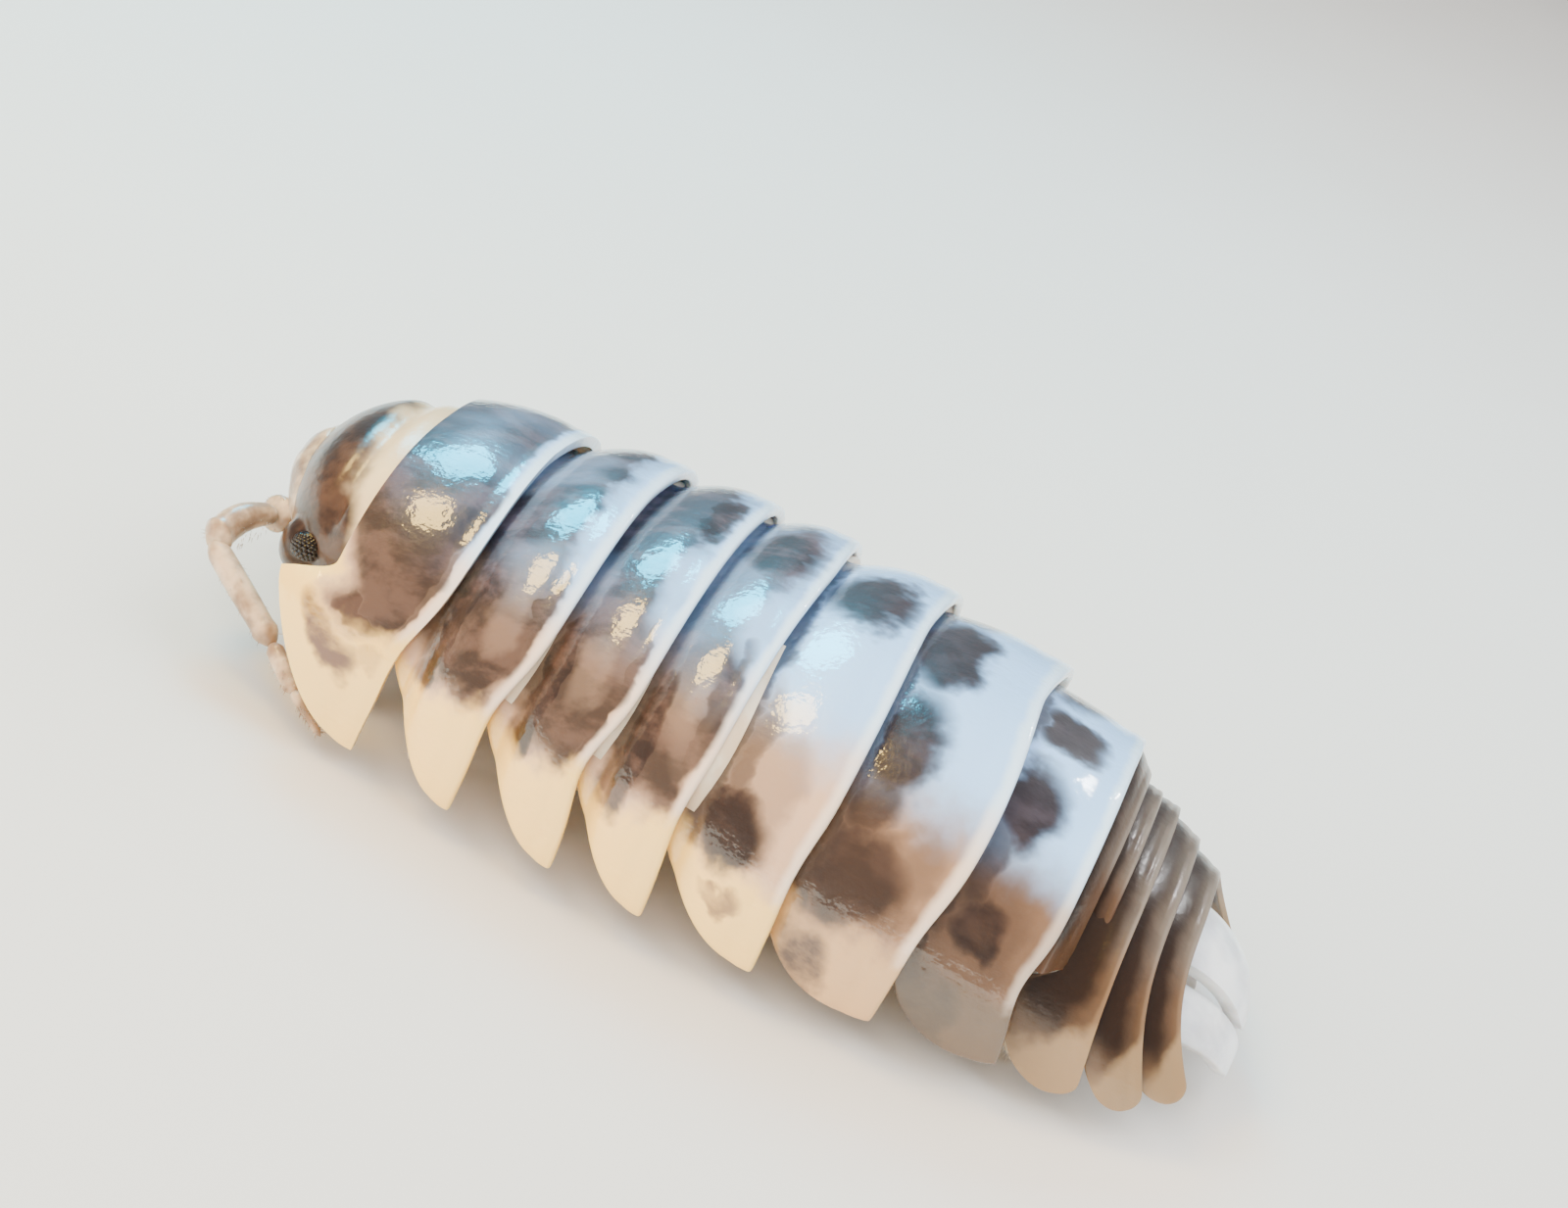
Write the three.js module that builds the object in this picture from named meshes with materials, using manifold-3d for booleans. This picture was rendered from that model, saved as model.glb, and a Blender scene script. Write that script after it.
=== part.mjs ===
// A woodlouse of the kind that rolls up, life size in millimetres, walking on a flat floor.
// The head points to -Y, +X is the animal's left, +Z is up and the floor is z = 0.
import * as THREE from "three";
import { mergeVertices } from "three/addons/utils/BufferGeometryUtils.js";
import Module from "manifold-3d";

const wasm = await Module();
wasm.setup();

// Stance: how high the plate tips hang above the floor, and where the body lies along Y.
const LIFT = 0.45;
const FORE_SHIFT = -6.14;

// Clearances: between touching pieces, along the body behind a plate's core, and under a plate's rim.
const JOINT_GAP = 0.15;
const CORE_GAP = 0.25;
const TAIL_CORE_GAP = 0.12;
const RIM_GAP = 0.1;

// Slivers thinner than this are smoothed away.
const SLIVER = 0.004;

// Plates: rim and side wall thickness, how far one slides under the next, how far behind the next one's
// rim it starts to widen, and the roundness of the vault.
const RIM = 0.17;
const TAIL_RIM = 0.1;
const WALL = 0.42;
const TUCK = 0.45;
const TAIL_TUCK = 0.3;
const SHELTER = 0.03;
const VAULT_POWER = 0.8;
const BELLY_POWER = 0.55;
const PLATE_ROWS = 6;
const TAIL_ROWS = 4;
const PLATE_COLUMNS = 20;

// Each plate from front to rear: place of its rear edge on the crown, half width, crown height and belly
// height above the plate tips, height of its own tip, the rise of its side lobe's front edge with the
// power of that curve, how round the lobe's rear corner is, how far the lobe leans back, how far the rear
// edge is swept back between crown and lobe, and how deep the notch over the lobe's tip is.
const PLATES = [
  ["pereonite_1", 2.18, 3.42, 3.4, 1.3, -0.12, 1.67, 2, 0, -0.3, 0.09, 0.13],
  ["pereonite_2", 3.65, 3.75, 3.56, 1.45, -0.08, 1.35, 2, 0, -0.22, 0.08, 0.15],
  ["pereonite_3", 5.01, 3.94, 3.63, 1.5, -0.04, 1.34, 2, 0, -0.05, 0.04, 0.2],
  ["pereonite_4", 6.3, 4.02, 3.67, 1.5, 0, 1.3, 2.1, 0, -0.04, -0.05, 0.08],
  ["pereonite_5", 7.75, 3.98, 3.66, 1.5, 0, 1.25, 2.5, 0, 0.06, 0.12, 0.07],
  ["pereonite_6", 9.52, 3.82, 3.46, 1.45, 0, 1.15, 4, 0.08, -0.12, 0.2, 0.08],
  ["pereonite_7", 11, 3.46, 3.02, 1.4, 0.02, 1.05, 4, 0.15, 0.06, 0.02, 0.15],
  ["pleonite_1", 11.26, 2.85, 2.72, 1.35, 1.4, 0.05, 1, 0, 0.05, 0, 0],
  ["pleonite_2", 11.53, 2.8, 2.54, 1.3, 1.35, 0.05, 1, 0, 0.08, 0, 0],
  ["pleonite_3", 11.84, 3.08, 2.36, 1.25, -0.12, 1.0, 4, 0.3, 0.27, 0, 0],
  ["pleonite_4", 12.27, 2.72, 2.14, 1.2, 0.0, 0.9, 4, 0.3, 0.75, 0, 0],
  ["pleonite_5", 12.7, 2.3, 1.92, 1.1, 0.2, 0.75, 4, 0.3, 1.0, 0, 0],
].map(([name, rear, half, crown, belly, tip, lobe, power, corner, lean, sweep, notch]) => {
  const tail = name.startsWith("pleonite");
  return { name, rear, half, crown, belly, tip, lobe, power, corner, lean, sweep, notch, tail };
});

// Where round the arch that notch lies and how wide it is, in radians above the hem. How far the hidden
// front edge leans back at the hem, on a trunk plate in mm and on a tail ring as a share of its lean.
const NOTCH_AT = 0.31;
const NOTCH_WIDTH = 0.19;
const FRONT_LEAN = 0.08;
const TAIL_FRONT_LEAN = 0.6;

// First plate: its front edge on the crown. Below a certain height two plates reach further forward, the
// first with a corner beside the head and the third tail ring with a lobe under the seventh plate.
// Their half width there is given too.
const COLLAR_FRONT = 0.62;
const REACH = {
  pereonite_1: { front: -0.05, half: 3.1, below: 1.5, above: 1.85 },
  pleonite_3: { front: 10.75, half: 3.02, below: 1.05, above: 1.45 },
};

// Head: an egg set into the first plate, with a raised forehead shield, a lobe before each eye and the
// eye itself in a socket.
const HEAD_CENTRE = new THREE.Vector3(0, 0.55, 1.72);
const HEAD_SIZE = new THREE.Vector3(2.12, 1.47, 1.38);
const SHIELD_CENTRE = new THREE.Vector3(0, -0.66, 1.78);
const SHIELD_SIZE = new THREE.Vector3(1.2, 0.36, 0.52);
const LOBE_CENTRE = new THREE.Vector3(1.57, -0.18, 1.29);
const LOBE_SIZE = new THREE.Vector3(0.41, 0.33, 0.42);
const EYE_CENTRE = new THREE.Vector3(1.86, -0.05, 1.42);
const EYE_SIZE = new THREE.Vector3(0.2, 0.24, 0.22);

// Feelers: name, side, and the places of the elbow, the wrist, the middle of the lash and its tip.
const ANTENNAE = [
  ["left", 1, [2.1, -1.22, 0.95], [2.72, 0.2, 0.34], [3.12, 0.8, 0.08], [3.36, 1.4, -0.18]],
  ["right", -1, [-2.05, -1.2, 0.7], [-2.7, 0.1, 0.2], [-3.05, 0.7, 0], [-3.3, 1.3, -0.2]],
];

// Tail plate: an arc that bends down behind the last ring, and the blades beside it.
const TELSON = { front: 12.4, top: 1.68, length: 1.46, drop: 1.28, half: 0.98, tipHalf: 0.4, wall: 0.4 };
const UROPOD = { front: 12.62, top: 1.28, length: 1.3, drop: 0.95, half: 0.62, tipHalf: 0.34, wall: 0.34 };

const COLOURS = {
  shell: { color: 0x9a8f8c, roughness: 0.4, metalness: 0 },
  head: { color: 0x8a6f5c, roughness: 0.4, metalness: 0 },
  eye: { color: 0x17110f, roughness: 0.15, metalness: 0 },
  limb: { color: 0xcdb59b, roughness: 0.45, metalness: 0 },
  tail: { color: 0xdfe2e2, roughness: 0.4, metalness: 0 },
};

/** Eases from 0 below `low` to 1 above `high`. */
function ease(low, high, value) {
  const t = THREE.MathUtils.clamp((value - low) / (high - low), 0, 1);
  return t * t * (3 - 2 * t);
}

/** Solid from a list of points and triangles, turned right side out. */
function solidFrom(points, triangles) {
  const make = (faces) =>
    new wasm.Manifold(
      new wasm.Mesh({
        numProp: 3,
        vertProperties: new Float32Array(points.flat()),
        triVerts: new Uint32Array(faces.flat()),
      }),
    );
  const made = make(triangles);
  return made.volume() > 0 ? made : make(triangles.map(([a, b, c]) => [a, c, b]));
}

/** Solid from a closed three.js geometry. */
function solidOf(geometry) {
  const bare = geometry.clone();
  bare.deleteAttribute("normal");
  bare.deleteAttribute("uv");
  const merged = mergeVertices(bare, 1e-4);
  const place = merged.getAttribute("position");
  const points = [];
  for (let i = 0; i < place.count; i++) points.push([place.getX(i), place.getY(i), place.getZ(i)]);
  const index = Array.from(merged.index.array);
  const triangles = [];
  for (let i = 0; i < index.length; i += 3) {
    const [a, b, c] = index.slice(i, i + 3);
    if (a !== b && b !== c && c !== a) triangles.push([a, b, c]);
  }
  return solidFrom(points, triangles);
}

/** The largest closed surface of a solid. */
function largest(solid) {
  return solid.decompose().sort((a, b) => b.volume() - a.volume())[0];
}

/** Named mesh of a solid, without the thinnest slivers that the cuts leave. */
function node(name, solid, look) {
  const mesh = largest(largest(solid).simplify(SLIVER)).getMesh();
  const geometry = new THREE.BufferGeometry();
  geometry.setAttribute("position", new THREE.BufferAttribute(Float32Array.from(mesh.vertProperties), 3));
  geometry.setIndex(new THREE.BufferAttribute(Uint32Array.from(mesh.triVerts), 1));
  geometry.computeVertexNormals();
  const made = new THREE.Mesh(geometry, new THREE.MeshStandardMaterial(COLOURS[look]));
  made.name = name;
  return made;
}

/** Closed solid between an outer and an inner sheet, each a function of row and column from 0 to 1. */
function thickSheet(rows, columns, outer, inner) {
  const points = [];
  for (const sheet of [outer, inner]) {
    for (let i = 0; i <= rows; i++) {
      for (let j = 0; j <= columns; j++) points.push(sheet(i / rows, j / columns));
    }
  }
  const at = (side, i, j) => side * (rows + 1) * (columns + 1) + i * (columns + 1) + j;
  const triangles = [];
  const quad = (a, b, c, d) => triangles.push([a, b, c], [a, c, d]);
  for (let i = 0; i < rows; i++) {
    for (let j = 0; j < columns; j++) {
      quad(at(0, i, j), at(0, i + 1, j), at(0, i + 1, j + 1), at(0, i, j + 1));
      quad(at(1, i, j), at(1, i, j + 1), at(1, i + 1, j + 1), at(1, i + 1, j));
    }
    quad(at(0, i, 0), at(1, i, 0), at(1, i + 1, 0), at(0, i + 1, 0));
    quad(at(0, i, columns), at(0, i + 1, columns), at(1, i + 1, columns), at(1, i, columns));
  }
  for (let j = 0; j < columns; j++) {
    quad(at(0, 0, j), at(0, 0, j + 1), at(1, 0, j + 1), at(1, 0, j));
    quad(at(0, rows, j), at(1, rows, j), at(1, rows, j + 1), at(0, rows, j + 1));
  }
  return solidFrom(points, triangles);
}

/** Where a plate starts and how wide and high it is there, tucked inside the rim of the one before it. */
function plateFront(index) {
  const plate = PLATES[index];
  if (index === 0) return { at: COLLAR_FRONT, half: REACH[plate.name].half, crown: plate.crown - 0.18 };
  const before = PLATES[index - 1];
  const shrink = (plate.tail ? TAIL_RIM : RIM) + RIM_GAP;
  return {
    at: before.rear - (plate.tail ? TAIL_TUCK : TUCK),
    half: REACH[plate.name]?.half ?? before.half - shrink,
    crown: before.crown - shrink,
  };
}

/** Height of a plate's lower edge above the datum, from its front (0) to its rear (1). */
function hemHeight(plate, along) {
  return plate.tip + plate.lobe * (1 - along) ** plate.power + plate.corner * along ** 6;
}

/** Point of an arch with the given half width and height, at angle `turn` from its left foot. */
function archPoint(half, height, power, turn) {
  const c = Math.cos(turn);
  const s = Math.sin(turn);
  return [half * Math.sign(c) * Math.abs(c) ** power, height * Math.sign(s) * Math.abs(s) ** power];
}

/** Angle at which an arch of that height stands `lift` above its feet, below zero under them. */
function archFoot(height, power, lift) {
  return Math.sign(lift) * Math.asin(Math.min(1, Math.abs(lift) / height) ** (1 / power));
}

/** Outer and inner sheets of one plate, grown outwards by `grow` and forwards by `advance`. */
function plateSheets(index, grow = 0, advance = 0) {
  const plate = PLATES[index];
  const front = plateFront(index);
  const reach = REACH[plate.name];
  const rows = plate.tail ? TAIL_ROWS : PLATE_ROWS;
  const sheltered = (plate.tail ? TAIL_TUCK : TUCK) + SHELTER + advance;
  const hidden = index === 0 ? 0 : sheltered / (plate.rear - front.at + advance);
  const share = (row) => {
    const step = row * rows;
    return step <= 1 ? step * hidden : hidden + ((1 - hidden) * (step - 1)) / (rows - 1);
  };
  const edge = (along, height, turn) => {
    const foot = (1 - Math.max(0, Math.sin(turn))) ** 2;
    const near = Math.max(0, Math.min(turn, Math.PI - turn));
    const notch = plate.notch * Math.exp(-(((near - NOTCH_AT) / NOTCH_WIDTH) ** 2));
    const end = plate.rear + plate.lean * foot + plate.sweep * Math.sin(2 * near) - notch;
    const corner = reach ? 1 - ease(reach.below, reach.above, height) : 0;
    const free = front.at + (plate.tail ? plate.lean * TAIL_FRONT_LEAN : FRONT_LEAN) * foot;
    const start = THREE.MathUtils.lerp(free, reach ? reach.front : 0, corner) - advance;
    return THREE.MathUtils.lerp(start, end, along) + FORE_SHIFT;
  };
  const sizeAt = (along) => {
    const swell = 1 - (1 - Math.max(0, (along - hidden) / (1 - hidden))) ** 2.2;
    return {
      half: THREE.MathUtils.lerp(front.half, plate.half, swell) + grow,
      crown: THREE.MathUtils.lerp(front.crown, plate.crown, swell) + grow,
    };
  };
  const outer = (row, across) => {
    const along = share(row);
    const { half, crown } = sizeAt(along);
    const foot = archFoot(crown, VAULT_POWER, hemHeight(plate, along) - grow);
    const turn = THREE.MathUtils.lerp(foot, Math.PI - foot, across);
    const [x, height] = archPoint(half, crown, VAULT_POWER, turn);
    return [x, edge(along, height, turn), height + LIFT];
  };
  const inner = (row, across) => {
    const along = share(row);
    const { half, crown } = sizeAt(along);
    const hem = Math.min(hemHeight(plate, along), plate.belly - 0.05);
    const foot = archFoot(plate.belly, BELLY_POWER, hem);
    const turn = THREE.MathUtils.lerp(foot, Math.PI - foot, across);
    const [x, height] = archPoint(half - grow - WALL, plate.belly, BELLY_POWER, turn);
    const outerTurn = Math.acos((Math.abs(x) / half) ** (1 / VAULT_POWER));
    return [x, edge(along, crown * Math.sin(outerTurn) ** VAULT_POWER, outerTurn), height + LIFT];
  };
  return { outer, inner, rows };
}

/** Plate with the body inside it. */
function plateSolid(index) {
  const { outer, inner, rows } = plateSheets(index);
  return thickSheet(rows, PLATE_COLUMNS, outer, inner);
}

/** Room that a plate needs under the rim of the one before it, filled down to below the floor. */
function plateRoom(index) {
  const { outer, rows } = plateSheets(index, RIM_GAP, PLATES[index].tail ? TAIL_CORE_GAP : CORE_GAP);
  const floorward = (along, across) => {
    const [x, y] = outer(along, across);
    return [x, y, -1];
  };
  return thickSheet(rows, PLATE_COLUMNS, outer, floorward);
}

/** Ellipsoid, grown by `grow` on every side. */
function egg(centre, size, grow = 0, segments = 20) {
  const shape = new THREE.SphereGeometry(1, segments, Math.round(segments * 0.6));
  shape.scale(size.x + grow, size.y + grow, size.z + grow);
  shape.translate(centre.x, centre.y + FORE_SHIFT, centre.z + LIFT);
  return solidOf(shape);
}

/** One round article of a limb from `from` to `to`, with its two end radii. */
function article(from, to, fromRadius, toRadius, sides = 7) {
  const along = new THREE.Vector3().subVectors(to, from);
  const length = along.length();
  const profile = [
    new THREE.Vector2(0, -fromRadius * 0.8),
    new THREE.Vector2(fromRadius, 0.05 * length),
    new THREE.Vector2(toRadius * 1.06, length - 0.08),
    new THREE.Vector2(toRadius * 0.7, length + toRadius * 0.5),
    new THREE.Vector2(0, length + toRadius * 0.8),
  ];
  const shape = new THREE.LatheGeometry(profile, sides);
  const turn = new THREE.Quaternion().setFromUnitVectors(new THREE.Vector3(0, 1, 0), along.normalize());
  shape.applyQuaternion(turn);
  shape.translate(from.x, from.y + FORE_SHIFT, from.z + LIFT);
  return solidOf(shape);
}

/** Limb of several articles through `points`, each joint with its radius. */
function limb(points, radii) {
  const articles = points.slice(1).map((to, i) => article(points[i], to, radii[i], radii[i + 1]));
  return wasm.Manifold.union(articles);
}

/** Everything below the floor. */
function underFloor() {
  const slab = new THREE.BoxGeometry(40, 40, 4);
  slab.translate(0, 0, -2);
  return solidOf(slab);
}

/** The same point on the animal's left (1) or right (-1). */
function mirrored(point, side) {
  return new THREE.Vector3(side * point.x, point.y, point.z);
}

/** Head with its forehead shield, side lobes and eye sockets. */
function headSolid() {
  let head = egg(HEAD_CENTRE, HEAD_SIZE, 0, 24).add(egg(SHIELD_CENTRE, SHIELD_SIZE, 0, 14));
  for (const side of [1, -1]) {
    head = head.add(egg(mirrored(LOBE_CENTRE, side), LOBE_SIZE, 0, 12));
    head = head.subtract(egg(mirrored(EYE_CENTRE, side), EYE_SIZE, 0.08, 12));
  }
  return head.subtract(plateRoom(1));
}

/** Antenna stalk of short base articles and two long ones with an elbow between them. */
function antennaStalk(side, elbow, wrist) {
  const base = new THREE.Vector3(side * 0.75, -0.82, 1.12);
  const shoulder = new THREE.Vector3(side * 1.1, -0.95, 1.24);
  return limb([base, shoulder, elbow, wrist], [0.27, 0.27, 0.25, 0.2]);
}

/** Two-part lash at the end of an antenna. */
function antennaLash(wrist, middle, tip) {
  const root = new THREE.Vector3().lerpVectors(wrist, middle, 0.56);
  return limb([root, middle, tip], [0.19, 0.15, 0.07]);
}

/** Walking leg: it comes out of the underside, turns in to the knee and then out and down to the floor. */
function legSolid(side, index) {
  const plate = PLATES[index];
  const before = index === 0 ? COLLAR_FRONT + 0.5 : PLATES[index - 1].rear;
  const middle = (before + plate.rear) / 2 + 0.1;
  const stride = THREE.MathUtils.lerp(-0.75, 0.8, index / 6) + side * (index % 2 === 0 ? 0.12 : -0.12);
  const rootX = plate.half - 1.55;
  const kneeX = rootX - 0.75;
  const footX = plate.half - 1.3;
  const place = (x, share, z) => new THREE.Vector3(side * x, middle + stride * share, z);
  const points = [
    place(rootX, 0, plate.belly - 0.5),
    place(kneeX, 0.1, 0.6),
    place(THREE.MathUtils.lerp(kneeX, footX, 0.5), 0.5, 0.2),
    place(THREE.MathUtils.lerp(kneeX, footX, 0.85), 0.85, -0.22),
    place(footX, 1, -LIFT - 0.05),
  ];
  return limb(points, [0.28, 0.28, 0.26, 0.21, 0.13]).subtract(FLOOR);
}

/** Half width of the tail plate, `along` from its root to its tip. */
function telsonHalf(along) {
  return THREE.MathUtils.lerp(TELSON.half, TELSON.tipHalf, along ** 1.3);
}

/** Point `depth` under the back of a tail blade that arcs down from its root to its tip. */
function bladePoint(blade, along, x, fall, grow, depth) {
  const bend = 1.42 * along;
  const y = blade.front - grow + (blade.length + 2 * grow - depth) * Math.sin(bend);
  const drop = (blade.drop - depth * 0.5) * (1 - Math.cos(bend));
  const z = blade.top + grow - fall - drop - depth * Math.cos(bend);
  return [x, y + FORE_SHIFT, z + LIFT];
}

/** Tail plate, grown by `grow` and deepened by `deepen` where it serves as the room it needs. */
function telsonSolid(grow = 0, deepen = 0) {
  const sheet = (depth) => (along, across) => {
    const side = 1 - 2 * across;
    const fall = 0.28 * side ** 2 * (1 - 0.5 * along);
    return bladePoint(TELSON, along, side * (telsonHalf(along) + grow), fall, grow, depth);
  };
  return thickSheet(6, 8, sheet(0), sheet(TELSON.wall + grow + deepen));
}

/** Uropod: a flat blade beside the tail plate that closes the rear outline. */
function uropodSolid(side, grow = 0, deepen = 0) {
  const sheet = (depth) => (along, across) => {
    const width = THREE.MathUtils.lerp(UROPOD.half, UROPOD.tipHalf, along) + 2 * grow;
    const x = telsonHalf(along) + JOINT_GAP - grow + width * across;
    const fall = 0.12 + 0.5 * across ** 2 * (1 - 0.4 * along);
    return bladePoint(UROPOD, along, side * x, fall, grow, depth);
  };
  return thickSheet(6, 5, sheet(0), sheet(UROPOD.wall + grow + deepen));
}

/** Gill plates under the tail rings: five overlapping pairs that meet along the midline. */
function gillPlates() {
  const flaps = [];
  for (let row = 0; row < 5; row++) {
    for (const side of [1, -1]) {
      const size = new THREE.Vector3(0.9 - row * 0.1, 0.36, 0.16);
      const centre = new THREE.Vector3(side * (0.7 - row * 0.07), 11.35 + row * 0.34, 0.68 - row * 0.02);
      flaps.push(egg(centre, size, 0, 8));
    }
  }
  return wasm.Manifold.union(flaps);
}

/** Mouthparts: a pair of jaw feet closing the underside of the head. */
function mouthparts() {
  const size = new THREE.Vector3(0.46, 0.62, 0.4);
  const centre = new THREE.Vector3(0.34, 0, 0.18);
  return wasm.Manifold.union([1, -1].map((side) => egg(mirrored(centre, side), size, 0, 12)));
}

const FLOOR = underFloor();
const headRoom = egg(HEAD_CENTRE, HEAD_SIZE, JOINT_GAP, 24);
const woodlouse = new THREE.Group();

PLATES.forEach((plate, index) => {
  let solid = plateSolid(index);
  if (index === 0) solid = solid.subtract(headRoom);
  const neighbours = index < 6 ? 1 : 3;
  for (let next = index + 1; next <= index + neighbours && next < PLATES.length; next++) {
    solid = solid.subtract(plateRoom(next));
  }
  if (index + 1 === PLATES.length) {
    solid = solid.subtract(telsonSolid(RIM_GAP, 1));
    for (const side of [1, -1]) solid = solid.subtract(uropodSolid(side, RIM_GAP, 1));
  }
  woodlouse.add(node(plate.name, solid, "shell"));
});
woodlouse.add(node("head", headSolid(), "head"));
woodlouse.add(node("mouthparts", mouthparts().subtract(headRoom), "limb"));

for (const [name, side, ...joints] of ANTENNAE) {
  const [elbow, wrist, middle, tip] = joints.map((joint) => new THREE.Vector3(...joint));
  woodlouse.add(node(`eye_${name}`, egg(mirrored(EYE_CENTRE, side), EYE_SIZE, 0, 12), "eye"));
  woodlouse.add(node(`antenna_${name}`, antennaStalk(side, elbow, wrist).subtract(headRoom), "limb"));
  woodlouse.add(node(`antenna_lash_${name}`, antennaLash(wrist, middle, tip), "limb"));
  for (let index = 0; index < 7; index++) {
    woodlouse.add(node(`leg_${index + 1}_${name}`, legSolid(side, index).subtract(headRoom), "limb"));
  }
  woodlouse.add(node(`uropod_${name}`, uropodSolid(side).subtract(telsonSolid(RIM_GAP)), "tail"));
}
woodlouse.add(node("telson", telsonSolid(), "tail"));
woodlouse.add(node("gill_plates", gillPlates(), "limb"));

export default woodlouse;
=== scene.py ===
"""Looks of a life-size woodlouse: glossy mottled shell plates, head, feelers, legs, tail and gills.

Sizes are in millimetres and are turned into metres when a mesh is made. The head points to -Y, +X is
the animal's left and the floor is z = 0.
"""

from __future__ import annotations

import logging
import math
import random
from dataclasses import dataclass, field, replace
from enum import Enum
from typing import Callable, Iterable, Sequence

import bmesh
import bpy
from mathutils import Matrix, Vector, noise


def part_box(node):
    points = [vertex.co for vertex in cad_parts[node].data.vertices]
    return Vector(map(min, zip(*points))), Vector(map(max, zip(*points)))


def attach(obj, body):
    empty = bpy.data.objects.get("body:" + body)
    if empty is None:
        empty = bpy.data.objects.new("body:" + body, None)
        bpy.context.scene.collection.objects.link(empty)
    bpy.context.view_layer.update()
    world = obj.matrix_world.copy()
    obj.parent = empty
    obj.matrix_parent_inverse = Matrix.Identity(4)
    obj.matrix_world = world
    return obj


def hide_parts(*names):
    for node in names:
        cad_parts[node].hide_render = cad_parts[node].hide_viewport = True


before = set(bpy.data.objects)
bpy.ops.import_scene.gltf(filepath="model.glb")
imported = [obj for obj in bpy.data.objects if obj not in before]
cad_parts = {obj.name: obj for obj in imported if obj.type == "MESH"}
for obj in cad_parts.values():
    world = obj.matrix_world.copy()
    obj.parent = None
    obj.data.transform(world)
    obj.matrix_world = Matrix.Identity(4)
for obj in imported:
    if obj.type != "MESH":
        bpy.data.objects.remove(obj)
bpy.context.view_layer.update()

logging.basicConfig(level=logging.INFO, format="%(message)s")
LOG = logging.getLogger("woodlouse")

MM = 0.001
BODY = "root"

FORE_SHIFT = -6.14
BASE = 0.45
VAULT = 0.8
COLLAR_FRONT = 0.62
TUCK, TAIL_TUCK = 0.45, 0.3
STEP, TAIL_STEP = 0.26, 0.11
SWELL, TAIL_SWELL = 2.2, 1.1
NOTCH_AT, NOTCH_WIDTH = 0.31, 0.19
BULGE, RIM_RISE, RIM_GROOVE = 0.06, 0.015, 0.01
PLATE_THICKNESS, TAIL_THICKNESS = 0.17, 0.1
BODY_SINK, BODY_INSET, BODY_WAIST = 0.34, 0.44, 2.0
PLATE_MESH, TAIL_MESH = (26, 84), (16, 72)
CUTICLE_IOR, SHEEN_ROUGH = 1.5, 0.35
DEPTH_REACH, DEPTH_TINT = 0.3, (1.0, 0.6, 0.4)
SPOT_EDGE, HOLLOW_EDGE = (1.8, 0.35), (0.35, 0.05)
# Span of side over which painted light goes from cool on the crown to warm on the flanks.
WARM_LIT_FLANK = (0.36, 0.62)
BLADE_TURN = 1.42
COLLAR_REACH, RING_REACH = (-0.05, 3.1, 1.5, 1.85), (10.75, 3.02, 1.05, 1.45)

Piece, Material = bpy.types.Object, bpy.types.Material
Node, NodeTree, Socket = bpy.types.Node, bpy.types.NodeTree, bpy.types.NodeSocket
Colour = tuple[float, float, float]
Place = Callable[[float, float], Vector]
Root = tuple[Vector, Vector]


def default(x: float, y: float, z: float) -> Vector:
    """Dataclass default for a vector."""
    return field(default_factory=lambda: Vector((x, y, z)))


class Slot(Enum):
    """Finish slots of the part's record."""

    SHELL = "shell"
    HEAD = "head"
    EYE = "eye"
    LIMB = "limb"
    TAIL = "tail"


class Side(Enum):
    """Which side of the animal a paired piece is on."""

    LEFT = 1
    RIGHT = -1

    @property
    def label(self) -> str:
        """Name of the side as the nodes spell it."""
        return self.name.lower()


def lerp(low: float, high: float, share: float) -> float:
    """Value `share` of the way from low to high."""
    return low + (high - low) * share


def ease(low: float, high: float, value: float) -> float:
    """Smooth step from 0 below low to 1 above high."""
    share = min(1.0, max(0.0, (value - low) / (high - low)))
    return share * share * (3 - 2 * share)


def bell(centre: float, width: float, value: float) -> float:
    """Smooth hump of height 1 round centre."""
    return math.exp(-(((value - centre) / width) ** 2))


def signed_power(value: float, power: float) -> float:
    """Power of a value that keeps its sign."""
    return math.copysign(abs(value) ** power, value)


def srgb(red: int, green: int, blue: int) -> Colour:
    """Linear colour of a screen colour given as 0 to 255.

    Args:
        red: Red share.
        green: Green share.
        blue: Blue share.

    Returns:
        The colour as three linear values.
    """

    def linear(value: int) -> float:
        share = value / 255
        return share / 12.92 if share <= 0.04045 else ((share + 0.055) / 1.055) ** 2.4

    return linear(red), linear(green), linear(blue)


def node_box(node: str) -> tuple[Vector, Vector]:
    """Lowest and highest corners of a solid of the frame, in millimetres."""
    low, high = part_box(node)
    return low / MM, high / MM


def deselect() -> None:
    """Leaves object mode with nothing selected."""
    if bpy.context.object and bpy.context.object.mode != "OBJECT":
        bpy.ops.object.mode_set(mode="OBJECT")
    bpy.ops.object.select_all(action="DESELECT")


def select_only(piece: Piece) -> None:
    """Makes one piece the selected and active one."""
    deselect()
    piece.select_set(True)
    bpy.context.view_layer.objects.active = piece


def new_piece(name: str) -> Piece:
    """Names the primitive that was just added and its mesh."""
    piece = bpy.context.object
    piece.name = name
    piece.data.name = name
    return piece


def placed(name: str, data: bpy.types.ID) -> Piece:
    """Object in the scene that holds a mesh, lamp or camera."""
    piece = bpy.data.objects.new(name, data)
    bpy.context.scene.collection.objects.link(piece)
    return piece


def shaped_grid(name: str, rows: int, columns: int, place: Place) -> Piece:
    """Grid whose points are moved onto a surface.

    Args:
        name: Name of the piece.
        rows: Faces along.
        columns: Faces across.
        place: Point in millimetres for a share along and a share across, each from 0 to 1.

    Returns:
        The piece, with a UV map of across and along.
    """
    deselect()
    bpy.ops.mesh.primitive_grid_add(x_subdivisions=columns, y_subdivisions=rows, size=2)
    piece = new_piece(name)
    for vertex in piece.data.vertices:
        vertex.co = place((vertex.co.y + 1) / 2, (vertex.co.x + 1) / 2) * MM
    return piece


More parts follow.
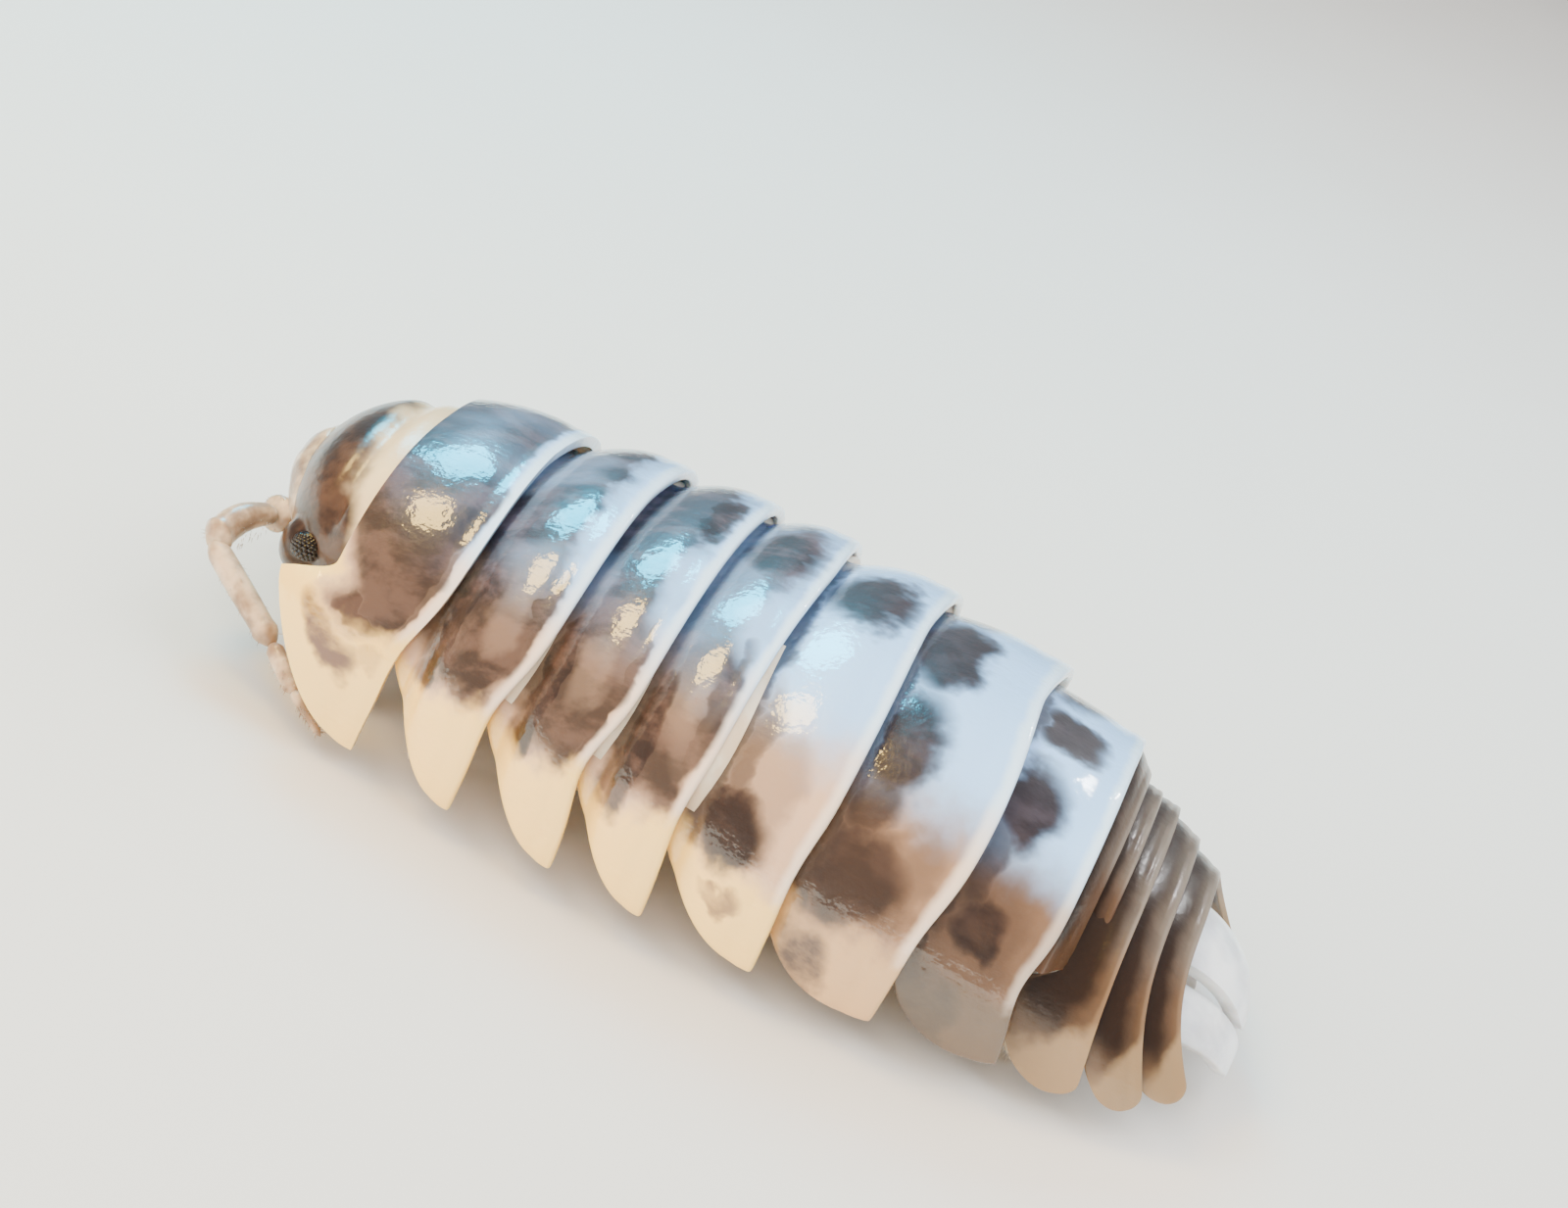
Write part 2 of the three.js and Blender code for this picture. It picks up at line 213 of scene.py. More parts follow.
def stretched(size: Iterable[float], direction: Iterable[float]) -> Vector:
    """Direction whose parts are multiplied by some half sizes."""
    return Vector([a * b for a, b in zip(size, direction)])


def pole_offset(along: float, turn: float) -> tuple[float, float, float]:
    """Point of a unit ball, for a share from pole to pole and an angle round the poles."""
    polar = math.pi * along
    return math.cos(polar), math.sin(polar) * math.cos(turn), math.sin(polar) * math.sin(turn)


def ball_place(centre: Vector, size: Vector) -> Place:
    """Surface of an ellipsoid with half sizes `size` and its poles on the X axis."""
    return lambda along, turn: centre + stretched(size, pole_offset(along, turn))


def shaped_ball(name: str, segments: int, rings: int, place: Place) -> Piece:
    """Ball whose points are moved onto a closed surface that runs from pole to pole.

    Args:
        name: Name of the piece.
        segments: Faces round.
        rings: Faces from pole to pole.
        place: Point in millimetres for a share from pole to pole and an angle round the poles.

    Returns:
        The piece, with its faces pointing out.
    """
    deselect()
    bpy.ops.mesh.primitive_uv_sphere_add(segments=segments, ring_count=rings, radius=1)
    piece = new_piece(name)
    for vertex in piece.data.vertices:
        along = math.acos(max(-1.0, min(1.0, -vertex.co.z))) / math.pi
        vertex.co = place(along, math.atan2(vertex.co.y, vertex.co.x)) * MM
    recalculate(piece)
    return piece


def recalculate(piece: Piece) -> None:
    """Points every face of a closed piece outwards."""
    select_only(piece)
    bpy.ops.object.mode_set(mode="EDIT")
    bpy.ops.mesh.select_all(action="SELECT")
    bpy.ops.mesh.remove_doubles(threshold=1e-7)
    bpy.ops.mesh.normals_make_consistent(inside=False)
    bpy.ops.object.mode_set(mode="OBJECT")


def apply_modifier(piece: Piece, kind: str, **settings: object) -> None:
    """Adds a modifier with its settings and applies it."""
    select_only(piece)
    modifier = piece.modifiers.new(kind.title(), kind)
    for key, value in settings.items():
        setattr(modifier, key, value)
    bpy.ops.object.modifier_apply(modifier=modifier.name)


def thicken(piece: Piece, thickness: float, bevel: float, levels: int = 1) -> None:
    """Gives a sheet its thickness inwards, rounds its edges and smooths it.

    Args:
        piece: The sheet, with its faces pointing out.
        thickness: Thickness in millimetres.
        bevel: Radius of the edges in millimetres.
        levels: Smoothing steps.
    """
    apply_modifier(piece, "SOLIDIFY", thickness=thickness * MM, offset=-1.0, use_even_offset=False)
    apply_modifier(
        piece, "BEVEL", width=bevel * MM, segments=2, limit_method="ANGLE", angle_limit=math.radians(55)
    )
    smooth(piece, levels)


def smooth(piece: Piece, levels: int = 1) -> None:
    """Subdivides a piece and shades it smooth."""
    if levels:
        apply_modifier(piece, "SUBSURF", levels=levels, render_levels=levels)
    select_only(piece)
    bpy.ops.object.shade_smooth()


def join(name: str, pieces: Sequence[Piece]) -> Piece:
    """Joins pieces into one mesh."""
    deselect()
    for piece in pieces:
        piece.select_set(True)
    bpy.context.view_layer.objects.active = pieces[0]
    bpy.ops.object.join()
    return new_piece(name)


def dress(piece: Piece, material: Material, slot: Slot, *nodes: str) -> None:
    """Gives a piece its finish, its body and the solids that it stands for.

    Args:
        piece: The finished piece.
        material: Its material.
        slot: The record's slot of that finish; not used.
        nodes: Names of the solids that the piece replaces.
    """
    piece.data.materials.clear()
    piece.data.materials.append(material)
    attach(piece, BODY)
    if nodes:
        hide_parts(*nodes)
    LOG.info("%s: %d faces", piece.name, len(piece.data.polygons))


class NodeSheet:
    """Short way to place and link the nodes of a material or of a node group."""

    def __init__(self, tree: NodeTree) -> None:
        """Starts on an empty tree."""
        self.tree = tree
        tree.nodes.clear()

    def add(self, kind: str, inputs: dict[object, object] | None = None, **settings: object) -> Node:
        """Places a node.

        Args:
            kind: Name of the node's type, less the words that all of them start with.
            inputs: Values or output sockets for its inputs, by name or number.
            settings: Values of its own properties.

        Returns:
            The node.
        """
        node = self.tree.nodes.new(f"ShaderNode{kind}")
        for key, value in settings.items():
            setattr(node, key, value)
        for key, value in (inputs or {}).items():
            self.put(node.inputs[key], value)
        return node

    def close(self, outputs: dict[str, object]) -> NodeTree:
        """Ends a node group in its outputs."""
        node = self.tree.nodes.new("NodeGroupOutput")
        for key, value in outputs.items():
            self.put(node.inputs[key], value)
        return self.tree

    def put(self, socket: Socket, value: object) -> None:
        """Links an output to a socket, or sets the socket's own value."""
        if isinstance(value, Socket):
            self.tree.links.new(value, socket)
        elif isinstance(value, tuple) and len(value) == 3 and socket.type == "RGBA":
            socket.default_value = (*value, 1.0)
        else:
            socket.default_value = value

    def math(self, operation: str, first: object, second: object = 0.0) -> Socket:
        """Result of a sum, product or other operation on two values."""
        return self.add("Math", {0: first, 1: second}, operation=operation).outputs[0]

    def plus(self, first: object, second: object) -> Socket:
        """Sum of two values."""
        return self.math("ADD", first, second)

    def less(self, first: object, second: object) -> Socket:
        """First value less the second."""
        return self.math("SUBTRACT", first, second)

    def times(self, first: object, second: object) -> Socket:
        """Product of two values."""
        return self.math("MULTIPLY", first, second)

    def step(self, value: object, low: float, high: float) -> Socket:
        """Smooth step of a value from 0 at low to 1 at high, either way round."""
        inputs = {"Value": value, "From Min": low, "From Max": high}
        return self.add("MapRange", inputs, interpolation_type="SMOOTHSTEP").outputs[0]

    def mix(self, share: object, first: object, second: object) -> Socket:
        """Colour between two colours."""
        node = self.add("Mix", data_type="RGBA")
        self.put(node.inputs[0], share)
        self.put(node.inputs[6], first)
        self.put(node.inputs[7], second)
        return node.outputs[2]

    def noise(self, vector: object, scale: object, detail: float = 3.0, rough: float = 0.5) -> Socket:
        """Value of a noise pattern."""
        inputs = {"Vector": vector, "Scale": scale, "Detail": detail, "Roughness": rough}
        return self.add("TexNoise", inputs).outputs[0]

    def group(self, tree: NodeTree, inputs: dict[str, object]) -> Socket:
        """Result of a shared effect."""
        node = self.add("Group", node_tree=tree)
        for key, value in inputs.items():
            self.put(node.inputs[key], value)
        return node.outputs[0]

    def object_place(self) -> Socket:
        """Place on the object."""
        return self.add("TexCoord").outputs["Object"]


def effect(name: str, inputs: dict[str, object], output: str, kind: str) -> tuple[NodeSheet, Node]:
    """Empty node group with named sockets.

    Args:
        name: Name of the effect.
        inputs: Starting value of each input, or None for a vector.
        output: Name of its output.
        kind: Socket type of its output.

    Returns:
        The sheet of the group and its input node.
    """
    tree = bpy.data.node_groups.new(name, "ShaderNodeTree")
    sheet = NodeSheet(tree)
    for key, value in inputs.items():
        wanted = "NodeSocketVector" if value is None else "NodeSocketFloat"
        socket = tree.interface.new_socket(name=key, in_out="INPUT", socket_type=wanted)
        if value is not None:
            socket.default_value = value
    tree.interface.new_socket(name=output, in_out="OUTPUT", socket_type=kind)
    return sheet, tree.nodes.new("NodeGroupInput")


def mirror_effect() -> NodeTree:
    """Place on the body that is alike on both sides, slightly warped so that no edge is straight."""
    inputs = {"Vector": None, "Shift": 0.0, "Warp": 0.25}
    sheet, given = effect("mirrored_place", inputs, "Vector", "NodeSocketVector")
    place, shift = given.outputs["Vector"], given.outputs["Shift"]
    x, y, z = sheet.add("SeparateXYZ", {0: place}).outputs
    mirrored = sheet.add("CombineXYZ", {0: sheet.math("ABSOLUTE", x), 1: y, 2: z})
    wave = sheet.add("TexNoise", {"Vector": place, "Scale": 900.0, "Detail": 2.0})
    centred = sheet.add("VectorMath", {0: wave.outputs[1], 1: (0.5, 0.5, 0.5)}, operation="SUBTRACT")
    amount = sheet.times(given.outputs["Warp"], MM)
    warp = sheet.add("VectorMath", {0: centred.outputs[0], 3: amount}, operation="SCALE")
    bent = sheet.add("VectorMath", {0: mirrored.outputs[0], 1: warp.outputs[0]}, operation="ADD")
    offset = sheet.add("CombineXYZ", {0: shift, 2: shift})
    moved = sheet.add("VectorMath", {0: bent.outputs[0], 1: offset.outputs[0]}, operation="ADD")
    return sheet.close({"Vector": moved.outputs[0]})


def patch_effect() -> NodeTree:
    """Soft-edged patches of pigment that cover a given share of the surface."""
    inputs = {"Vector": None, "Scale": 650.0, "Coverage": 0.42, "Softness": 0.16}
    sheet, given = effect("pigment_patches", inputs, "Mask", "NodeSocketFloat")
    large = sheet.noise(given.outputs["Vector"], given.outputs["Scale"], 1.5)
    level = sheet.plus(large, sheet.less(given.outputs["Coverage"], 1.0))
    ramp = sheet.math("DIVIDE", level, given.outputs["Softness"])
    mask = sheet.add("Math", {0: ramp, 1: 0.5}, operation="ADD", use_clamp=True)
    return sheet.close({"Mask": mask.outputs[0]})


def pit_effect() -> NodeTree:
    """Height of fine pits, scratches and flat flakes in the cuticle."""
    inputs = {"Vector": None, "Pits": 9000.0, "Streaks": 0.4, "Flakes": 0.6}
    sheet, given = effect("cuticle_pits", inputs, "Height", "NodeSocketFloat")
    vector = given.outputs["Vector"]
    pits = sheet.noise(vector, given.outputs["Pits"], 2.0)
    drawn_out = {"Vector": vector, "Rotation": (0.0, 0.0, 0.5), "Scale": (1.0, 0.12, 1.0)}
    stretched = sheet.add("Mapping", drawn_out)
    streak = sheet.noise(stretched.outputs[0], 15000.0, 2.0)
    flakes = sheet.add("TexVoronoi", {"Vector": vector, "Scale": 4200.0}, feature="SMOOTH_F1")
    both = sheet.plus(pits, sheet.times(streak, given.outputs["Streaks"]))
    total = sheet.plus(both, sheet.times(flakes.outputs[0], given.outputs["Flakes"]))
    return sheet.close({"Height": total})


@dataclass(frozen=True)
class Effects:
    """Shared effects that the finishes place."""

    mirror: NodeTree
    patches: NodeTree
    pits: NodeTree


def blank_material(name: str) -> tuple[Material, NodeSheet]:
    """New material with an empty sheet of nodes."""
    material = bpy.data.materials.new(name)
    material.use_nodes = True
    return material, NodeSheet(material.node_tree)


def close_material(
    sheet: NodeSheet, place: object, colour: object, effects: Effects, look: "Gloss"
) -> None:
    """Ends a material in its shader.

    Args:
        sheet: Nodes of the material.
        place: Place on the object.
        colour: Base colour.
        effects: The shared effects.
        look: Gloss, relief and depth of the cuticle.
    """
    low, high = look.rough
    grain = {"Value": sheet.noise(place, look.grain, 2.0), "To Min": low, "To Max": high}
    height = sheet.group(effects.pits, {"Vector": place, "Streaks": look.streaks})
    bump = sheet.add("Bump", {"Height": height, "Strength": look.bump, "Distance": look.relief * MM})
    settings = {
        "Base Color": colour,
        "Roughness": sheet.add("MapRange", grain).outputs[0],
        "Normal": bump.outputs[0],
        "IOR": CUTICLE_IOR,
        "Coat IOR": look.coat_ior,
        "Coat Weight": look.coat,
        "Coat Roughness": look.coat_rough,
        "Coat Normal": bump.outputs[0],
        "Subsurface Weight": look.depth,
        "Subsurface Scale": DEPTH_REACH * MM,
        "Subsurface Radius": DEPTH_TINT,
        "Sheen Weight": look.sheen,
        "Sheen Roughness": SHEEN_ROUGH,
    }
    shader = sheet.add("BsdfPrincipled", settings)
    sheet.add("OutputMaterial", {"Surface": shader.outputs[0]})


@dataclass(frozen=True)
class Gloss:
    """Gloss, relief and translucent depth of a cuticle."""

    coat: float = 1.0
    coat_rough: float = 0.07
    coat_ior: float = 1.7
    bump: float = 0.5
    relief: float = 0.014
    depth: float = 0.15
    sheen: float = 0.0
    grain: float = 5200.0
    rough: tuple[float, float] = (0.3, 0.46)
    streaks: float = 0.4


LIMB_GLOSS = Gloss(0.6, 0.16, 1.5, depth=0.3, sheen=0.3, grain=7000.0, rough=(0.32, 0.48), streaks=0.8)
EYE_GLOSS = Gloss(0.6, 0.12, depth=0.0, grain=7000.0, rough=(0.22, 0.38), streaks=0.8)
SKULL_GLOSS = Gloss(0.7, 0.2, 1.5, grain=6000.0, streaks=0.2)
TAIL_GLOSS = Gloss(0.5, 0.18, 1.5)


@dataclass(frozen=True)
class Spot:
    """Soft spot on a plate, alike on both sides.

    Sizes are shares of the plate: `side` runs from the crown to the hem, `along` from front to rear.
    """

    side: float
    along: float
    wide: float
    long: float
    strength: float = 1.0
    hollow: float = 0.0


@dataclass(frozen=True)
class Pigments:
    """Colours of the shell with painted light: cool ones on the crown, tinted by painted cool light from
    above, warm ones on the flanks, tinted by painted warm light from the side, over the shell's own pale,
    brown and cream colours.
    """

    dark: Colour = srgb(38, 31, 36)
    dark_warm: Colour = srgb(40, 25, 16)
    mid: Colour = srgb(92, 80, 90)
    mid_warm: Colour = srgb(96, 70, 56)
    # Sky-blue crown ground: the shell's pale colour with painted cool light.
    pale: Colour = srgb(160, 204, 252)
    pale_warm: Colour = srgb(206, 168, 136)
    # Blue-white rear rim: the rim's own pale colour with painted cool light.
    rim: Colour = srgb(212, 236, 255)
    rim_warm: Colour = srgb(240, 214, 190)
    # Saturated cream lobes: their own pale cream with painted warm light.
    cream: Colour = srgb(255, 208, 116)
    lobe_dark: Colour = srgb(100, 66, 42)


@dataclass(frozen=True)
class ShellFinish:
    """Mottled shell: pale ground, a dark field or dark spots, pale rear rim and cream side lobes, under
    painted cool light on the crown and painted warm light on the flanks, with painted sheen in some pale
    spots and painted shade in some dark spots.
    """

    name: str
    shift: float = 0.0
    field_depth: float = 0.97
    field_side: float = 0.82
    field_rear: float = 0.87
    marbling: float = 0.65
    # Dark spots: pigment, and painted shade where they lie along a front edge or a fold.
    dark_and_shade_spots: tuple[Spot, ...] = ()
    # Pale spots: painted sheen of the cool light on the crown, paler pigment elsewhere.
    pale_spots: tuple[Spot, ...] = ()
    lobe_spots: tuple[Spot, ...] = ()
    lobe_from: float = 0.86
    lobe_lean: float = 0.18
    rim_from: float = 0.89
    stripe: float = 0.0
    pigments: Pigments = Pigments()
    gloss: Gloss = Gloss()

    @staticmethod
    def spot_mask(sheet: NodeSheet, spots: Iterable[Spot], side: object, along: object) -> object:
        """Mask of some spots, from 0 to 1."""
        mask: object = 0.0
        for spot in spots:
            across = sheet.math("DIVIDE", sheet.less(side, spot.side), spot.wide)
            length = sheet.math("DIVIDE", sheet.less(along, spot.along), spot.long)
            total = sheet.plus(sheet.math("POWER", across, 2.0), sheet.math("POWER", length, 2.0))
            shape = sheet.times(sheet.step(total, *SPOT_EDGE), spot.strength)
            if spot.hollow:
                shape = sheet.less(shape, sheet.times(sheet.step(total, *HOLLOW_EDGE), spot.hollow))
            mask = sheet.math("MAXIMUM", mask, shape)
        return mask

    def build(self, effects: Effects) -> Material:
        """Makes the material.

        Args:
            effects: The shared effects.

        Returns:
            The material, which reads the plate's UV map and its place.
        """
        material, sheet = blank_material(self.name)
        tint = self.pigments
        place = sheet.object_place()
        chart = sheet.add("UVMap", uv_map="UVMap").outputs[0]
        across, along, _ = sheet.add("SeparateXYZ", {0: chart}).outputs
        side = sheet.times(sheet.math("ABSOLUTE", sheet.less(across, 0.5)), 2.0)
        mirrored = sheet.group(effects.mirror, {"Vector": place, "Shift": self.shift, "Warp": 0.3})
        wander = sheet.less(sheet.noise(mirrored, 1300.0, 2.0), 0.5)
        ripple = sheet.less(sheet.noise(mirrored, 4200.0, 2.0), 0.5)
        loose = sheet.plus(wander, sheet.times(ripple, 0.45))
        along_soft = sheet.plus(along, sheet.times(loose, 0.26))
        side_soft = sheet.plus(side, sheet.times(loose, 0.14))
        # Share of painted warm light: the colours go from cool-lit on the crown to warm-lit on the flanks.
        warm = sheet.step(side_soft, *WARM_LIT_FLANK)
        patches = sheet.group(effects.patches, {"Vector": mirrored})
        inside = sheet.step(side_soft, self.field_side + 0.06, self.field_side - 0.05)
        before_rim = sheet.step(along_soft, self.field_rear + 0.05, self.field_rear - 0.06)
        thin = sheet.less(self.field_depth, sheet.times(patches, 0.22 * self.field_depth))
        covered = sheet.times(sheet.times(inside, before_rim), thin)
        # Pale spots open the dark field: painted sheen on the crown, paler pigment lower down.
        opened = sheet.less(1.0, self.spot_mask(sheet, self.pale_spots, side_soft, along_soft))
        covered = sheet.times(covered, opened)
        # Dark spots: pigment, with painted shade along front edges and folds.
        dark = self.spot_mask(sheet, self.dark_and_shade_spots, side_soft, along_soft)
        covered = sheet.math("MAXIMUM", covered, dark)
        streaks = sheet.add("Mapping", {"Vector": mirrored, "Scale": (1.0, 0.5, 1.0)}).outputs[0]
        marble = sheet.step(sheet.noise(streaks, 2300.0, 4.0, 0.62), 0.42, 0.64)
        # Colour of the dark field and the dark spots, also where these are painted shade; cool on the crown
        # and warm on the flanks by painted light.
        stain_and_shade_colour = sheet.mix(warm, tint.dark, tint.dark_warm)
        lighter = sheet.mix(warm, tint.mid, tint.mid_warm)
        stain_and_shade_colour = sheet.mix(sheet.times(marble, self.marbling), stain_and_shade_colour, lighter)
        colour = sheet.mix(covered, sheet.mix(warm, tint.pale, tint.pale_warm), stain_and_shade_colour)
        if self.stripe:
            band = sheet.times(sheet.step(along_soft, 0.84, 0.56), self.stripe)
            stripe = sheet.times(band, sheet.step(side, 0.95, 0.8))
            colour = sheet.mix(stripe, colour, tint.dark_warm)
        slant = sheet.times(sheet.less(along, 0.5), self.lobe_lean)
        lobe = sheet.step(sheet.plus(side_soft, slant), self.lobe_from - 0.03, self.lobe_from + 0.045)
        thinned = sheet.less(1.0, sheet.times(marble, 0.35))
        lobe_mask = sheet.times(self.spot_mask(sheet, self.lobe_spots, side_soft, along_soft), thinned)
        colour = sheet.mix(lobe, colour, sheet.mix(lobe_mask, tint.cream, tint.lobe_dark))
        # Rear rim: its own pale colour, blue-white with painted cool light on the crown and warm with
        # painted warm light on the flanks.
        rim_tint = sheet.mix(lobe, sheet.mix(warm, tint.rim, tint.rim_warm), tint.cream)
        frayed = sheet.plus(along, sheet.times(loose, 0.06))
        rim = sheet.step(frayed, self.rim_from, self.rim_from + 0.065)
        colour = sheet.mix(sheet.times(rim, 0.88), colour, rim_tint)
        close_material(sheet, place, colour, effects, self.gloss)
        return material


@dataclass(frozen=True)
class SkullFinish:
    """Skull: a brown band behind the forehead shield and down to the eyes, cream behind it."""

    name: str = "skull"
    brown: Colour = srgb(38, 24, 16)
    amber: Colour = srgb(76, 52, 36)
    cream: Colour = srgb(220, 192, 146)
    band_edge: tuple[float, float] = (-0.0057, -0.0053)

    def build(self, effects: Effects) -> Material:
        """Makes the material from the shared effects."""
        material, sheet = blank_material(self.name)
        place = sheet.object_place()
        parts = sheet.add("SeparateXYZ", {0: place}).outputs
        mirrored = sheet.group(effects.mirror, {"Vector": place})
        wander = sheet.times(sheet.less(sheet.noise(mirrored, 1500.0), 0.5), 0.0007)
        slope = sheet.times(sheet.less(parts[2], 0.00217), 0.5)
        line = sheet.plus(sheet.plus(parts[1], slope), wander)
        cream = sheet.step(line, *self.band_edge)
        brown = sheet.step(sheet.noise(mirrored, 1700.0, 4.0, 0.6), 0.4, 0.62)
        colour = sheet.mix(brown, self.brown, self.amber)
        colour = sheet.mix(cream, colour, self.cream)
        close_material(sheet, place, colour, effects, SKULL_GLOSS)
        return material


@dataclass(frozen=True)
class LimbFinish:
    """Translucent cuticle of feelers, legs, tail blades and gills, with darker and paler clouds."""

    name: str
    base: Colour
    cloud: Colour
    scale: float = 1500.0
    gloss: Gloss = LIMB_GLOSS

    def build(self, effects: Effects) -> Material:
        """Makes the material from the shared effects."""
        material, sheet = blank_material(self.name)
        place = sheet.object_place()
        mirrored = sheet.group(effects.mirror, {"Vector": place, "Warp": 0.2})
        cloud = sheet.step(sheet.noise(mirrored, self.scale, 3.0), 0.38, 0.66)
        colour = sheet.mix(cloud, self.base, self.cloud)
        close_material(sheet, place, colour, effects, self.gloss)
        return material


@dataclass
class Plate:
    """One arched shell plate, with the same sizes as the solid of that name.

    Places along the body are counted from a datum at FORE_SHIFT and heights from the plate tips at BASE.
    The side lobe hangs to `tip` and its front edge rises by `lobe`, in a curve of that `power`. Its rear
    corner is rounded by `corner` and it leans back by `lean`. The rear edge is swept back by `sweep`
    between crown and lobe and cut in by `notch` over the lobe. `reach` holds the place and half width of
    a front edge that lies further forward below, and the heights between which it gets there.
    """

    node: str
    rear: float
    half: float
    crown: float
    tip: float
    lobe: float
    power: float
    corner: float
    lean: float
    sweep: float = 0.0
    notch: float = 0.0
    reach: tuple[float, float, float, float] | None = None
    front: float = COLLAR_FRONT
    front_half: float = 3.1
    front_crown: float = 3.22

    @property
    def is_tail(self) -> bool:
        """Whether the plate is one of the tail rings."""
        return self.node.startswith("pleonite")

    def follow(self, before: "Plate") -> None:
        """Tucks the front of the plate inside the rim of the one before it."""
        shrink = TAIL_STEP if self.is_tail else STEP
        self.front = before.rear - (TAIL_TUCK if self.is_tail else TUCK)
        self.front_half = self.reach[1] if self.reach else before.half - shrink
        self.front_crown = before.crown - shrink

    def shown(self, along: float) -> float:
        """Share of the way over the part that isn't tucked under the plate before it."""
        hidden = 0.0
        if self.front != COLLAR_FRONT:
            hidden = (TAIL_TUCK if self.is_tail else TUCK) / (self.rear - self.front)
        return max(0.0, (along - hidden) / (1 - hidden))

    def hem(self, along: float) -> float:
        """Height of the lower edge above the plate tips."""
        return self.tip + self.lobe * (1 - along) ** self.power + self.corner * along**6

    def sizes(self, along: float) -> tuple[float, float]:
        """Half width and crown height at a share of the length."""
        swell = 1 - (1 - self.shown(along)) ** (TAIL_SWELL if self.is_tail else SWELL)
        half = lerp(self.front_half, self.half, swell)
        crown = lerp(self.front_crown, self.crown, swell)
        return half, crown

    def edge(self, along: float, height: float, turn: float) -> float:
        """Place along the body of a point of the plate."""
        foot = (1 - max(0.0, math.sin(turn))) ** 2
        near = max(0.0, min(turn, math.pi - turn))
        end = self.rear + self.lean * foot + self.sweep * math.sin(2 * near)
        end -= self.notch * bell(NOTCH_AT, NOTCH_WIDTH, near)
        start = self.front + (self.lean * 0.6 if self.is_tail else 0.08) * foot
        if self.reach:
            start = lerp(start, self.reach[0], 1 - ease(self.reach[2], self.reach[3], height))
        return lerp(start, end, along)

    def surface(self, along: float, across: float) -> Vector:
        """Point of the plate's outside.

        Args:
            along: Share from the front edge to the rear edge.
            across: Share from the right hem over the crown to the left hem.

        Returns:
            The point in millimetres.
        """
        half, crown = self.sizes(along)
        bulge = BULGE * min(1.0, (self.rear - self.front) / 1.8) * math.sin(math.pi * self.shown(along))
        raised = bulge + RIM_RISE * ease(0.8, 0.9, along) - RIM_GROOVE * bell(0.82, 0.06, along)
        half, crown = half + raised, crown + raised
        lift = self.hem(along)
        foot = math.copysign(math.asin(min(1.0, abs(lift) / crown) ** (1 / VAULT)), lift)
        turn = lerp(math.pi - foot, foot, across)
        x = half * signed_power(math.cos(turn), VAULT)
        height = crown * signed_power(math.sin(turn), VAULT)
        return Vector((x, self.edge(along, height, turn) + FORE_SHIFT, height + BASE))

    def build(self, material: Material) -> None:
        """Makes and dresses the plate."""
        rows, columns = TAIL_MESH if self.is_tail else PLATE_MESH
        piece = shaped_grid(self.node + "_shell", rows, columns, self.surface)
        if self.is_tail:
            thicken(piece, TAIL_THICKNESS, 0.035)
        else:
            thicken(piece, PLATE_THICKNESS, 0.055)
        dress(piece, material, Slot.SHELL, self.node)


